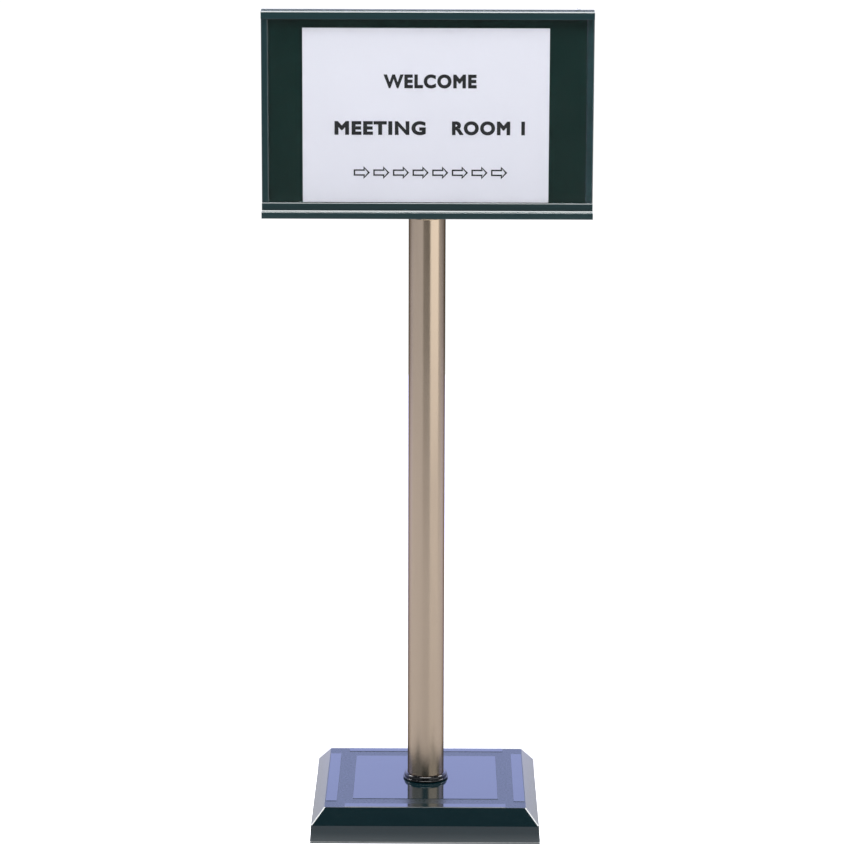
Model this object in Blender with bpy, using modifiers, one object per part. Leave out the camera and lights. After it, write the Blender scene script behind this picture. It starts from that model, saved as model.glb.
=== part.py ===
"""Free-standing sign stand: weighted square base, round aluminium post, landscape A4 sign head.

The head turns on a spigot in the post, and its clear cover and poster sheet slide out to
the right. Z is up, the front faces -Y, and the origin is the middle of the footprint.
"""

import math

import bmesh
import bpy
from mathutils import Matrix, Vector

MM = 0.001

# Clearances
GAP = 0.3 * MM                     # between pieces that touch
SPIGOT_PLAY = 0.2 * MM             # radial, spigot in its bore

# Whole object
TOTAL_HEIGHT = 1000 * MM

# Base moulding
BASE_WIDTH = 281 * MM              # over the bead at the foot of the rim
RIM_LIFT = 1.0 * MM                # rim above the floor
BEAD_HEIGHT = 1.4 * MM
BEAD_PROUD = 0.7 * MM
RIM_HEIGHT = 22.2 * MM             # upright band, from the bottom edge of the moulding
RIM_DRAFT = 0.9 * MM
SLOPE_RISE = 18.8 * MM
SLOPE_RUN = 16.4 * MM
BASE_WALL = 3.0 * MM
BASE_EDGE_RADIUS = 1.2 * MM

# Pattern of smooth fields on the top of the base, standing proud of a grained ground
EDGE_FIELD_WIDTH = 14 * MM         # smooth strips along the four edges of the top
EDGE_FIELD_SETBACK = 24 * MM       # of the strips from the corners of the top
GRAIN_BAND = 19.5 * MM             # between the strips and the middle field
FIELD_HEIGHT = 0.4 * MM

# Inside the base
UNDERSIDE_LIFT = 3.0 * MM          # bottom cover above the floor
BOTTOM_COVER_THICKNESS = 2.0 * MM
BALLAST_THICKNESS = 18 * MM
BALLAST_CLEARANCE = 4 * MM         # ballast to the screw posts
BALLAST_EDGE_RADIUS = 2 * MM
SCREW_POST_RADIUS = 4.5 * MM
SCREW_POST_INSET = 28 * MM         # from the outer edge of the base, at the middle of each side
SOCKET_WALL = 3.5 * MM             # collar under the top that steadies the post
FOOT_RADIUS = 12 * MM
FOOT_INSET = 22 * MM               # from the outer edges of the base to each corner foot
ACCESS_RADIUS = 17 * MM            # hole in the bottom cover, under the base bolt

# Fasteners
CHAMFER = 1.0 * MM                 # on bolts, plugs and the spigot's tip
BOLT_RADIUS = 5.0 * MM             # M10 base bolt
BOLT_LENGTH = 42 * MM
BOLT_HEAD_FLATS = 17 * MM
BOLT_HEAD_HEIGHT = 6.4 * MM
WASHER_RADIUS = 15 * MM
WASHER_THICKNESS = 2.0 * MM
COUNTERBORE_DEPTH = 10 * MM
SMALL_SCREW_RADIUS = 1.9 * MM
SMALL_SCREW_LENGTH = 12 * MM
SMALL_HEAD_RADIUS = 3.6 * MM
SMALL_HEAD_HEIGHT = 1.6 * MM
CROWN_SHARE = 0.7                  # flat crown of a domed head, as a share of the head's radius

# Post
POST_RADIUS = 22.5 * MM
POST_WALL = 1.5 * MM
LOWER_PLUG_LENGTH = 40 * MM
UPPER_PLUG_LENGTH = 44 * MM
RING_WALL = 5.2 * MM
RING_HEIGHT = 7.5 * MM

# Swivel at the top of the post
SPIGOT_RADIUS = 8 * MM
SPIGOT_LENGTH = 38 * MM
FLANGE_THICKNESS = 4 * MM
FLANGE_PLAY = 0.5 * MM             # radial, flange in the mouth of the tube
THRUST_WASHER_THICKNESS = 1.2 * MM
FLANGE_SCREW_RADIUS = 2.0 * MM
FLANGE_SCREW_HEAD_RADIUS = 3.5 * MM
FLANGE_SCREW_HEAD_HEIGHT = 2.2 * MM
NUT_PLATE_LENGTH = 60 * MM
NUT_PLATE_WIDTH = 24 * MM
NUT_PLATE_THICKNESS = 4 * MM

# Poster: A4, landscape
POSTER_WIDTH = 297 * MM
POSTER_HEIGHT = 210 * MM
POSTER_THICKNESS = 0.3 * MM
POSTER_OFFSET = -2.0 * MM          # left of the middle
POSTER_SIDE_MARGIN = 51.5 * MM     # sheet to each end of the head
POSTER_HEADROOM = 10.5 * MM        # sheet to the lip of the top rail

# Head: rails across the full width, with grooves for the cover and the boards
CHANNEL_DEPTH = 22 * MM            # front to back over the lips
LIP_WALL = 1.8 * MM
COVER_THICKNESS = 2.0 * MM
POCKET_DEPTH = 1.8 * MM            # room for the poster, cover to board
BOARD_THICKNESS = 3.0 * MM
GROOVE_DEPTH = 5.5 * MM
FOOT_RAIL_DEPTH = 42 * MM          # front to back of the bottom rail's foot
FOOT_RAIL_HEIGHT = 7.8 * MM
FOOT_RAIL_WEB = 2.5 * MM           # under the nut plate
COVE_RADIUS = 3.0 * MM
BOTTOM_RAIL_HEIGHT = 18.2 * MM
POSTER_SHELF_RISE = 0.3 * MM       # shelf above the top of the front lip
TOP_RAIL_HEIGHT = 9.5 * MM         # lip to top face
RIB_RISE = 1.2 * MM                # screw land along the back of the top rail
RIB_DEPTH = 6.2 * MM
RAIL_EDGE_RADIUS = 0.8 * MM
SIDE_TRIM_WIDTH = 8.3 * MM
SIDE_TRIM_RADIUS = 1.2 * MM
CHAMBER_PLUG_LENGTH = 6 * MM
LOCK_SCREW_INSET = 19 * MM         # from the right end
LOCK_HEAD_RADIUS = 2.5 * MM
LOCK_HEAD_HEIGHT = 1.3 * MM
LOCK_SCREW_RADIUS = 1.2 * MM

# Facets around a full turn
ROUND_STEPS = 64                   # post, ring and the holes around them
INNER_STEPS = 32                   # plugs, spigot, washers and feet
SMALL_STEPS = 24                   # screws and their holes
RING_ARC_STEPS = 8                 # a quarter of the ring's section, from its crown out
RING_TUCK_STEPS = 3                # and from there in to its foot

# Base places that follow from the sizes
BEAD_TOP = RIM_LIFT + BEAD_HEIGHT
BAND_TOP = RIM_LIFT + RIM_HEIGHT
BASE_TOP = BAND_TOP + SLOPE_RISE
FOOT_HALF = BASE_WIDTH / 2 - BEAD_PROUD            # upright band, at its foot
BAND_HALF = FOOT_HALF - RIM_DRAFT                  # upright band, at its top
TOP_HALF = BAND_HALF - SLOPE_RUN
SCREW_REACH = BASE_WIDTH / 2 - SCREW_POST_INSET
FOOT_REACH = BASE_WIDTH / 2 - FOOT_INSET
UNDERSIDE_TOP = UNDERSIDE_LIFT + BOTTOM_COVER_THICKNESS
BALLAST_HALF = SCREW_REACH - SCREW_POST_RADIUS - BALLAST_CLEARANCE
BALLAST_BOTTOM = UNDERSIDE_TOP + GAP
BALLAST_TOP = BALLAST_BOTTOM + BALLAST_THICKNESS
COUNTERBORE_TOP = BALLAST_BOTTOM + COUNTERBORE_DEPTH
WASHER_TOP = COUNTERBORE_TOP - GAP
BOLT_HEAD_TOP = WASHER_TOP - WASHER_THICKNESS - GAP

# Head layers, in the head's own frame: front to back, then bottom to top
FRONT = -CHANNEL_DEPTH / 2
COVER_FRONT = FRONT + LIP_WALL + GAP
COVER_BACK = COVER_FRONT + COVER_THICKNESS
BOARD_FRONT = COVER_BACK + POCKET_DEPTH
BOARD_BACK = BOARD_FRONT + BOARD_THICKNESS
REAR_BOARD_BACK = -FRONT - LIP_WALL - GAP
REAR_BOARD_FRONT = REAR_BOARD_BACK - BOARD_THICKNESS
CHAMBER_FLOOR = FOOT_RAIL_WEB
CHAMBER_CEILING = CHAMBER_FLOOR + NUT_PLATE_THICKNESS + 2 * GAP
CHAMBER_HALF = NUT_PLATE_WIDTH / 2 + GAP
GROOVE_FLOOR = BOTTOM_RAIL_HEIGHT - GROOVE_DEPTH
SHELF = BOTTOM_RAIL_HEIGHT + POSTER_SHELF_RISE
TOP_LIP = SHELF + GAP + POSTER_HEIGHT + POSTER_HEADROOM
GROOVE_CEILING = TOP_LIP + GROOVE_DEPTH
TOP_FACE = TOP_LIP + TOP_RAIL_HEIGHT
HEAD_HEIGHT = TOP_FACE + RIB_RISE
HEAD_END = POSTER_WIDTH / 2 + POSTER_SIDE_MARGIN
BOARD_END = HEAD_END - SIDE_TRIM_WIDTH - GAP
LOCK_SCREW_PLACE = (HEAD_END - LOCK_SCREW_INSET, (REAR_BOARD_FRONT + REAR_BOARD_BACK) / 2)

# Post and swivel; the flange, washer and plug are given from the underside of the head down
HEAD_BOTTOM = TOTAL_HEIGHT - HEAD_HEIGHT
POST_BOTTOM = BALLAST_TOP + GAP
POST_TOP = HEAD_BOTTOM - GAP
POST_BORE = POST_RADIUS - POST_WALL
PLUG_RADIUS = POST_BORE - GAP
FLANGE_RADIUS = POST_BORE - FLANGE_PLAY
FLANGE_TOP = -GAP
FLANGE_BOTTOM = FLANGE_TOP - FLANGE_THICKNESS
THRUST_TOP = FLANGE_BOTTOM - GAP
PLUG_TOP = THRUST_TOP - THRUST_WASHER_THICKNESS - GAP
FLANGE_SCREW_SEAT = FLANGE_BOTTOM + FLANGE_SCREW_HEAD_HEIGHT + 2 * GAP
FLANGE_SCREW_REACH = (SPIGOT_RADIUS + FLANGE_RADIUS) / 2
FLANGE_SCREW_PLACES = [(-FLANGE_SCREW_REACH, 0), (FLANGE_SCREW_REACH, 0)]


# Scene, collections and materials

def clear_scene():
    for old in list(bpy.data.objects):
        bpy.data.objects.remove(old, do_unlink=True)


def new_collection(name):
    collection = bpy.data.collections.new(name)
    bpy.context.scene.collection.children.link(collection)
    return collection


def new_material(name, colour, roughness, metallic=0.0, transmission=0.0):
    material = bpy.data.materials.new(name)
    material.use_nodes = True
    shader = material.node_tree.nodes["Principled BSDF"]
    shader.inputs["Base Color"].default_value = (*colour, 1.0)
    shader.inputs["Roughness"].default_value = roughness
    shader.inputs["Metallic"].default_value = metallic
    shader.inputs["Transmission Weight"].default_value = transmission
    return material


clear_scene()
PARTS = new_collection("sign_stand")
CUTTERS = new_collection("cutters")

MATERIALS = {
    "black_abs": new_material("black_abs", (0.012, 0.020, 0.020), 0.12),
    "dark_board": new_material("dark_board", (0.010, 0.025, 0.023), 0.45),
    "dark_pvc": new_material("dark_pvc", (0.018, 0.028, 0.030), 0.25),
    "anodised_tube": new_material("anodised_tube", (0.52, 0.43, 0.33), 0.32, metallic=1.0),
    "cast_iron": new_material("cast_iron", (0.10, 0.10, 0.10), 0.7, metallic=0.6),
    "zinc_steel": new_material("zinc_steel", (0.55, 0.55, 0.56), 0.35, metallic=1.0),
    "rubber": new_material("rubber", (0.02, 0.02, 0.02), 0.8),
    "nylon": new_material("nylon", (0.70, 0.69, 0.65), 0.5),
    "clear_acrylic": new_material("clear_acrylic", (0.95, 0.97, 0.97), 0.02, transmission=1.0),
    "paper": new_material("paper", (0.82, 0.83, 0.86), 0.7),
}


# Modelling helpers

def link(obj, collection, parent):
    collection.objects.link(obj)
    obj.parent = parent
    return obj


def as_part(obj, material, smooth_angle=35):
    obj.data.materials.clear()
    obj.data.materials.append(MATERIALS[material])
    obj.data.shade_smooth()
    obj.data.set_sharp_from_angle(angle=math.radians(smooth_angle))
    return obj


def as_cutter(obj):
    obj.hide_render = True
    obj.display_type = "WIRE"
    return obj


def box_mesh(name, low, high):
    """A box between two corners, with its size in the mesh itself."""
    low, high = Vector(low), Vector(high)
    shape = bmesh.new()
    bmesh.ops.create_cube(shape, size=1.0)
    size = Matrix.Diagonal((high - low).to_4d())
    size[3][3] = 1.0
    bmesh.ops.transform(shape, matrix=Matrix.Translation((low + high) / 2) @ size, verts=shape.verts)
    mesh = bpy.data.meshes.new(name)
    shape.to_mesh(mesh)
    shape.free()
    return mesh


def round_edges(obj, radius, segments=2, angle=40):
    bevel = obj.modifiers.new("rounded_edges", "BEVEL")
    bevel.width = radius
    bevel.segments = segments
    bevel.limit_method = "ANGLE"
    bevel.angle_limit = math.radians(angle)


def box(name, low, high, material, parent=None, radius=0.0):
    obj = link(bpy.data.objects.new(name, box_mesh(name, low, high)), PARTS, parent)
    if radius:
        round_edges(obj, radius)
    return as_part(obj, material)


def box_cutter(name, low, high, parent=None):
    return as_cutter(link(bpy.data.objects.new(name, box_mesh(name, low, high)), CUTTERS, parent))


def cylinder_cutter(name, places, radius, bottom, top, parent=None, sides=SMALL_STEPS):
    """Upright cylinders at each (x, y) place, in one cutter."""
    shape = bmesh.new()
    for x, y in places:
        middle = Matrix.Translation((x, y, (bottom + top) / 2))
        bmesh.ops.create_cone(
            shape, cap_ends=True, segments=sides, radius1=radius, radius2=radius,
            depth=top - bottom, matrix=middle)
    mesh = bpy.data.meshes.new(name)
    shape.to_mesh(mesh)
    shape.free()
    return as_cutter(link(bpy.data.objects.new(name, mesh), CUTTERS, parent))


def boolean(obj, operation, cutter):
    modifier = obj.modifiers.new(cutter.name, "BOOLEAN")
    modifier.operation = operation
    modifier.object = cutter
    modifier.solver = "EXACT"


def turned(name, profile, material, place=(0, 0, 0), parent=None, steps=ROUND_STEPS, hollow=False):
    """Turn an (r, z) profile about the upright axis; it runs down its outer side."""
    count = len(profile)
    edges = [(i, i + 1) for i in range(count - 1)]
    if hollow:
        edges.append((count - 1, 0))
    mesh = bpy.data.meshes.new(name)
    mesh.from_pydata([(r, 0.0, z) for r, z in profile], edges, [])
    obj = link(bpy.data.objects.new(name, mesh), PARTS, parent)
    obj.location = place
    screw = obj.modifiers.new("turned", "SCREW")
    screw.axis = "Z"
    screw.angle = math.tau
    screw.steps = steps
    screw.render_steps = steps
    screw.use_merge_vertices = True
    screw.merge_threshold = 0.00001
    screw.use_smooth_shade = True
    obj.data.materials.append(MATERIALS[material])
    return obj


def ring_profile(inner, outer, bottom, top, chamfer=0.0):
    """Closed (r, z) profile of a straight ring with chamfered outer edges."""
    if not chamfer:
        return [(outer, top), (outer, bottom), (inner, bottom), (inner, top)]
    return [
        (outer - chamfer, top), (outer, top - chamfer), (outer, bottom + chamfer),
        (outer - chamfer, bottom), (inner, bottom), (inner, top)]


def rounded(corners, arc_steps=4):
    """Outline from (u, v, radius) corners, with each radius drawn as an arc."""
    outline = []
    count = len(corners)
    for i, (u, v, radius) in enumerate(corners):
        here = Vector((u, v))
        if radius == 0:
            outline.append(here)
            continue
        before = (Vector(corners[i - 1][:2]) - here).normalized()
        after = (Vector(corners[(i + 1) % count][:2]) - here).normalized()
        half = before.angle(after) / 2
        start = here + before * radius / math.tan(half)
        end = here + after * radius / math.tan(half)
        centre = here + (before + after).normalized() * radius / math.sin(half)
        sweep = (start - centre).angle_signed(end - centre)
        for step in range(arc_steps + 1):
            turn = Matrix.Rotation(-sweep * step / arc_steps, 2)
            outline.append(centre + turn @ (start - centre))
    return outline


def prism_mesh(name, outline, length, frame):
    """A flat outline filled and drawn out along its normal, then turned into place by frame."""
    shape = bmesh.new()
    for u, v in outline:
        shape.verts.new((u, v, -length / 2))
    corners = shape.verts[:]
    for corner, following in zip(corners, corners[1:] + corners[:1]):
        shape.edges.new((corner, following))
    bmesh.ops.contextual_create(shape, geom=shape.edges)
    grown = bmesh.ops.extrude_face_region(shape, geom=shape.faces[:])["geom"]
    raised = [part for part in grown if isinstance(part, bmesh.types.BMVert)]
    bmesh.ops.translate(shape, vec=(0, 0, length), verts=raised)
    bmesh.ops.transform(shape, matrix=frame, verts=shape.verts)
    bmesh.ops.recalc_face_normals(shape, faces=shape.faces)
    mesh = bpy.data.meshes.new(name)
    shape.to_mesh(mesh)
    shape.free()
    return mesh


# Turns an outline drawn as (front-to-back, up) so that its length runs left to right
ALONG_X = Matrix(((0, 0, 1, 0), (1, 0, 0, 0), (0, 1, 0, 0), (0, 0, 0, 1)))


def rail(name, outline, parent):
    mesh = prism_mesh(name, outline, 2 * HEAD_END, ALONG_X)
    return as_part(link(bpy.data.objects.new(name, mesh), PARTS, parent), "dark_pvc")


def corners_of(half):
    return [(half, half), (-half, half), (-half, -half), (half, -half)]


def sides_of(reach):
    return [(reach, 0.0), (0.0, reach), (-reach, 0.0), (0.0, -reach)]


def square_stack(levels):
    """Closed solid through level squares, each (half width, height), bottom to top."""
    shape = bmesh.new()
    half, height = levels[0]
    bmesh.ops.create_circle(
        shape, segments=4, radius=half * math.sqrt(2),
        matrix=Matrix.Translation((0, 0, height)) @ Matrix.Rotation(math.pi / 4, 4, "Z"))
    rim = shape.edges[:]
    for next_half, next_height in levels[1:]:
        grown = bmesh.ops.extrude_edge_only(shape, edges=rim)["geom"]
        rim = [part for part in grown if isinstance(part, bmesh.types.BMEdge)]
        rim = [edge for edge in rim if edge.is_boundary]
        for vert in {vert for edge in rim for vert in edge.verts}:
            vert.co = (vert.co.x * next_half / half, vert.co.y * next_half / half, next_height)
        half = next_half
    bmesh.ops.holes_fill(shape, edges=shape.edges, sides=4)
    bmesh.ops.recalc_face_normals(shape, faces=shape.faces)
    return shape


# Base

def slope_half(height, wall=0.0):
    """Half width of the sloping sides at a height, set in by a wall thickness."""
    run_per_rise = SLOPE_RUN / SLOPE_RISE
    set_in = wall * math.hypot(SLOPE_RUN, SLOPE_RISE) / SLOPE_RISE
    return TOP_HALF + (BASE_TOP - height) * run_per_rise - set_in


def base_shell():
    shape = square_stack([
        (BASE_WIDTH / 2, RIM_LIFT), (BASE_WIDTH / 2, BEAD_TOP),
        (FOOT_HALF, BEAD_TOP + BEAD_PROUD), (BAND_HALF, BAND_TOP), (TOP_HALF, BASE_TOP)])
    upper = [
        edge for edge in shape.edges
        if sum(vert.co.z for vert in edge.verts) / 2 > BEAD_TOP + 2 * BEAD_PROUD]
    bmesh.ops.bevel(
        shape, geom=upper, offset=BASE_EDGE_RADIUS, segments=2, profile=0.5,
        affect="EDGES", clamp_overlap=True)
    mesh = bpy.data.meshes.new("base_shell")
    shape.to_mesh(mesh)
    shape.free()
    shell = link(bpy.data.objects.new("base_shell", mesh), PARTS, None)

    ceiling = BASE_TOP - BASE_WALL
    inner_band = BAND_HALF - BASE_WALL
    bend = BASE_TOP - (inner_band - slope_half(BASE_TOP, BASE_WALL)) * SLOPE_RISE / SLOPE_RUN
    cavity = square_stack([
        (FOOT_HALF - BASE_WALL, 0.0), (inner_band, bend),
        (slope_half(ceiling, BASE_WALL), ceiling)])
    cavity_mesh = bpy.data.meshes.new("base_cavity")
    cavity.to_mesh(cavity_mesh)
    cavity.free()
    cavity_cutter = as_cutter(link(bpy.data.objects.new("base_cavity", cavity_mesh), CUTTERS, None))
    boolean(shell, "DIFFERENCE", cavity_cutter)

    into_top = ceiling + BASE_WALL / 2
    collar = cylinder_cutter(
        "post_collar", [(0, 0)], POST_RADIUS + GAP + SOCKET_WALL, POST_BOTTOM, into_top,
        sides=ROUND_STEPS)
    boolean(shell, "UNION", collar)
    posts = cylinder_cutter(
        "screw_posts", sides_of(SCREW_REACH), SCREW_POST_RADIUS, UNDERSIDE_TOP + GAP, into_top)
    boolean(shell, "UNION", posts)
    bore = cylinder_cutter(
        "post_hole", [(0, 0)], POST_RADIUS + GAP, POST_BOTTOM - BASE_WALL, BASE_TOP + BASE_WALL,
        sides=ROUND_STEPS)
    boolean(shell, "DIFFERENCE", bore)
    pilots = cylinder_cutter(
        "screw_pilots", sides_of(SCREW_REACH), SMALL_SCREW_RADIUS + GAP, UNDERSIDE_LIFT,
        UNDERSIDE_LIFT + SMALL_SCREW_LENGTH + 2 * GAP)
    boolean(shell, "DIFFERENCE", pilots)

    band = TOP_HALF - EDGE_FIELD_WIDTH
    pad = band - GRAIN_BAND
    strip = TOP_HALF - EDGE_FIELD_SETBACK
    past_edge = TOP_HALF + BASE_WALL
    # Inner outline of the grained ground: across the corner squares, around one corner of the top
    one_corner = [
        (band, strip), (past_edge, strip), (past_edge, past_edge), (strip, past_edge), (strip, band)]
    ground = [
        tuple(Matrix.Rotation(-math.pi / 2 * turn, 2) @ Vector(point))
        for turn in range(4) for point in one_corner[::-1]]
    level = Matrix.Translation((0, 0, BASE_TOP))
    ground_mesh = prism_mesh("grain_ground", ground, 2 * FIELD_HEIGHT, level)
    grain = as_cutter(link(bpy.data.objects.new("grain_ground", ground_mesh), CUTTERS, None))
    kept = box_cutter(
        "middle_field", (-pad, -pad, BASE_TOP - 2 * FIELD_HEIGHT), (pad, pad, BASE_TOP + 2 * FIELD_HEIGHT))
    boolean(grain, "DIFFERENCE", kept)
    boolean(shell, "DIFFERENCE", grain)
    as_part(shell, "black_abs")


def base_ring():
    """Soft bead around the foot of the post: a bulging outer side and a flat bottom."""
    bottom = BASE_TOP + GAP
    inner = POST_RADIUS + GAP
    outer = inner + RING_WALL
    swell = RING_HEIGHT / 3
    tuck = swell / 2
    profile = []
    for step in range(RING_ARC_STEPS + 1):
        angle = math.pi / 2 * (1 - step / RING_ARC_STEPS)
        profile.append((
            inner + RING_WALL * math.cos(angle),
            bottom + swell + (RING_HEIGHT - swell) * math.sin(angle)))
    for step in range(1, RING_TUCK_STEPS):
        angle = math.pi / 2 * step / RING_TUCK_STEPS
        profile.append((outer - tuck * (1 - math.cos(angle)), bottom + swell * (1 - math.sin(angle))))
    profile += [(outer - tuck, bottom), (inner, bottom)]
    turned("base_ring", profile, "rubber", hollow=True)


def ballast():
    plate = box(
        "ballast_plate", (-BALLAST_HALF, -BALLAST_HALF, BALLAST_BOTTOM),
        (BALLAST_HALF, BALLAST_HALF, BALLAST_TOP), "cast_iron", radius=BALLAST_EDGE_RADIUS)
    hole = cylinder_cutter(
        "ballast_bolt_hole", [(0, 0)], BOLT_RADIUS + GAP, BALLAST_BOTTOM, BALLAST_TOP + GAP)
    counterbore = cylinder_cutter(
        "ballast_counterbore", [(0, 0)], WASHER_RADIUS + GAP, BALLAST_BOTTOM - GAP, COUNTERBORE_TOP,
        sides=ROUND_STEPS)
    boolean(plate, "DIFFERENCE", counterbore)
    boolean(plate, "DIFFERENCE", hole)


def bottom_cover():
    half = FOOT_HALF - BASE_WALL - 2 * GAP
    plate = box(
        "bottom_cover", (-half, -half, UNDERSIDE_LIFT), (half, half, UNDERSIDE_TOP), "dark_board")
    access = cylinder_cutter(
        "access_hole", [(0, 0)], ACCESS_RADIUS, UNDERSIDE_LIFT - GAP, UNDERSIDE_TOP + GAP,
        sides=ROUND_STEPS)
    holes = cylinder_cutter(
        "cover_screw_holes", sides_of(SCREW_REACH), SMALL_SCREW_RADIUS + GAP,
        UNDERSIDE_LIFT - GAP, UNDERSIDE_TOP + GAP)
    boolean(plate, "DIFFERENCE", access)
    boolean(plate, "DIFFERENCE", holes)


CORNER_NAMES = ("back_right", "back_left", "front_left", "front_right")
SIDE_NAMES = ("right", "back", "left", "front")


def feet():
    height = UNDERSIDE_LIFT - GAP
    profile = [
        (0, height), (FOOT_RADIUS, height), (FOOT_RADIUS, height / 3),
        (FOOT_RADIUS - height / 3, 0), (0, 0)]
    for corner, (x, y) in zip(CORNER_NAMES, corners_of(FOOT_REACH)):
        turned("foot_" + corner, profile, "rubber", place=(x, y, 0), steps=INNER_STEPS)


def pan_screw(name, radius, length, head_radius, head_height, material, place, parent=None):
    """Screw with its domed head down and its shank up; place is the underside of the head's seat."""
    seat = -GAP
    crown = seat - head_height
    profile = [
        (0, length), (radius, length), (radius, seat), (head_radius, seat),
        (head_radius, (seat + crown) / 2), (head_radius * CROWN_SHARE, crown), (0, crown)]
    return turned(name, profile, material, place=place, parent=parent, steps=SMALL_STEPS)


def cover_screws():
    for side, (x, y) in zip(SIDE_NAMES, sides_of(SCREW_REACH)):
        pan_screw(
            "cover_screw_" + side, SMALL_SCREW_RADIUS, SMALL_SCREW_LENGTH, SMALL_HEAD_RADIUS,
            SMALL_HEAD_HEIGHT, "zinc_steel", (x, y, UNDERSIDE_LIFT))


def base_bolt():
    """Hexagon bolt, its head down in the counterbore, up through the ballast into the plug."""
    tip = BOLT_HEAD_TOP + BOLT_LENGTH
    into_head = BOLT_HEAD_TOP - BOLT_HEAD_HEIGHT / 2
    profile = [
        (0, tip), (BOLT_RADIUS - CHAMFER, tip), (BOLT_RADIUS, tip - CHAMFER),
        (BOLT_RADIUS, into_head), (0, into_head)]
    bolt = turned("base_bolt", profile, "zinc_steel", steps=SMALL_STEPS)
    across_corners = BOLT_HEAD_FLATS / math.cos(math.pi / 6)
    head = cylinder_cutter(
        "bolt_hexagon", [(0, 0)], across_corners / 2, BOLT_HEAD_TOP - BOLT_HEAD_HEIGHT, BOLT_HEAD_TOP,
        sides=6)
    boolean(bolt, "UNION", head)
    turned(
        "base_washer",
        ring_profile(BOLT_RADIUS + GAP, WASHER_RADIUS, WASHER_TOP - WASHER_THICKNESS, WASHER_TOP),
        "zinc_steel", hollow=True, steps=INNER_STEPS)


# Post

def post():
    turned(
        "post_tube", ring_profile(POST_BORE, POST_RADIUS, POST_BOTTOM, POST_TOP), "anodised_tube",
        hollow=True)
    turned(
        "lower_plug",
        ring_profile(
            BOLT_RADIUS + GAP, PLUG_RADIUS, POST_BOTTOM, POST_BOTTOM + LOWER_PLUG_LENGTH, CHAMFER),
        "nylon", hollow=True, steps=INNER_STEPS)


def swivel_seat():
    """The fixed half of the swivel: the plug in the top of the tube and the washer on it."""
    top = HEAD_BOTTOM + PLUG_TOP
    bore = SPIGOT_RADIUS + SPIGOT_PLAY
    turned(
        "upper_plug", ring_profile(bore, PLUG_RADIUS, top - UPPER_PLUG_LENGTH, top, CHAMFER), "nylon",
        hollow=True, steps=INNER_STEPS)
    washer_top = HEAD_BOTTOM + THRUST_TOP
    turned(
        "thrust_washer",
        ring_profile(bore, PLUG_RADIUS, washer_top - THRUST_WASHER_THICKNESS, washer_top), "nylon",
        hollow=True, steps=INNER_STEPS)


# Head, in its own frame: origin on the swivel axis at the underside of the bottom rail

def head_spigot(pivot):
    tip = FLANGE_BOTTOM - SPIGOT_LENGTH
    profile = [
        (0, FLANGE_TOP), (FLANGE_RADIUS, FLANGE_TOP), (FLANGE_RADIUS, FLANGE_BOTTOM),
        (SPIGOT_RADIUS, FLANGE_BOTTOM), (SPIGOT_RADIUS, tip + CHAMFER),
        (SPIGOT_RADIUS - CHAMFER, tip), (0, tip)]
    spigot = turned("head_spigot", profile, "zinc_steel", parent=pivot, steps=INNER_STEPS)
    holes = cylinder_cutter(
        "flange_screw_holes", FLANGE_SCREW_PLACES, FLANGE_SCREW_RADIUS + GAP,
        FLANGE_BOTTOM, FLANGE_TOP + GAP, parent=pivot)
    sinks = cylinder_cutter(
        "flange_screw_sinks", FLANGE_SCREW_PLACES, FLANGE_SCREW_HEAD_RADIUS + GAP,
        FLANGE_BOTTOM - GAP, FLANGE_SCREW_SEAT, parent=pivot)
    boolean(spigot, "DIFFERENCE", sinks)
    boolean(spigot, "DIFFERENCE", holes)


def flange_screws(pivot):
    reach = CHAMBER_FLOOR + GAP + NUT_PLATE_THICKNESS - FLANGE_SCREW_SEAT
    for side, (x, y) in zip(("left", "right"), FLANGE_SCREW_PLACES):
        pan_screw(
            "flange_screw_" + side, FLANGE_SCREW_RADIUS, reach, FLANGE_SCREW_HEAD_RADIUS,
            FLANGE_SCREW_HEAD_HEIGHT, "zinc_steel", (x, y, FLANGE_SCREW_SEAT), parent=pivot)


def nut_plate(pivot):
    half = Vector((NUT_PLATE_LENGTH / 2, NUT_PLATE_WIDTH / 2))
    bottom = CHAMBER_FLOOR + GAP
    top = bottom + NUT_PLATE_THICKNESS
    plate = box("nut_plate", (-half.x, -half.y, bottom), (half.x, half.y, top), "zinc_steel", pivot)
    holes = cylinder_cutter(
        "nut_plate_holes", FLANGE_SCREW_PLACES, FLANGE_SCREW_RADIUS + GAP,
        bottom - GAP, top + GAP, parent=pivot)
    boolean(plate, "DIFFERENCE", holes)


def groove_walls():
    """Front-to-back places of the groove walls: cover, front board and rear board grooves."""
    return (
        (COVER_FRONT - GAP, COVER_BACK + GAP),
        (BOARD_FRONT - GAP, BOARD_BACK + GAP),
        (REAR_BOARD_FRONT - GAP, REAR_BOARD_BACK + GAP))


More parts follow.
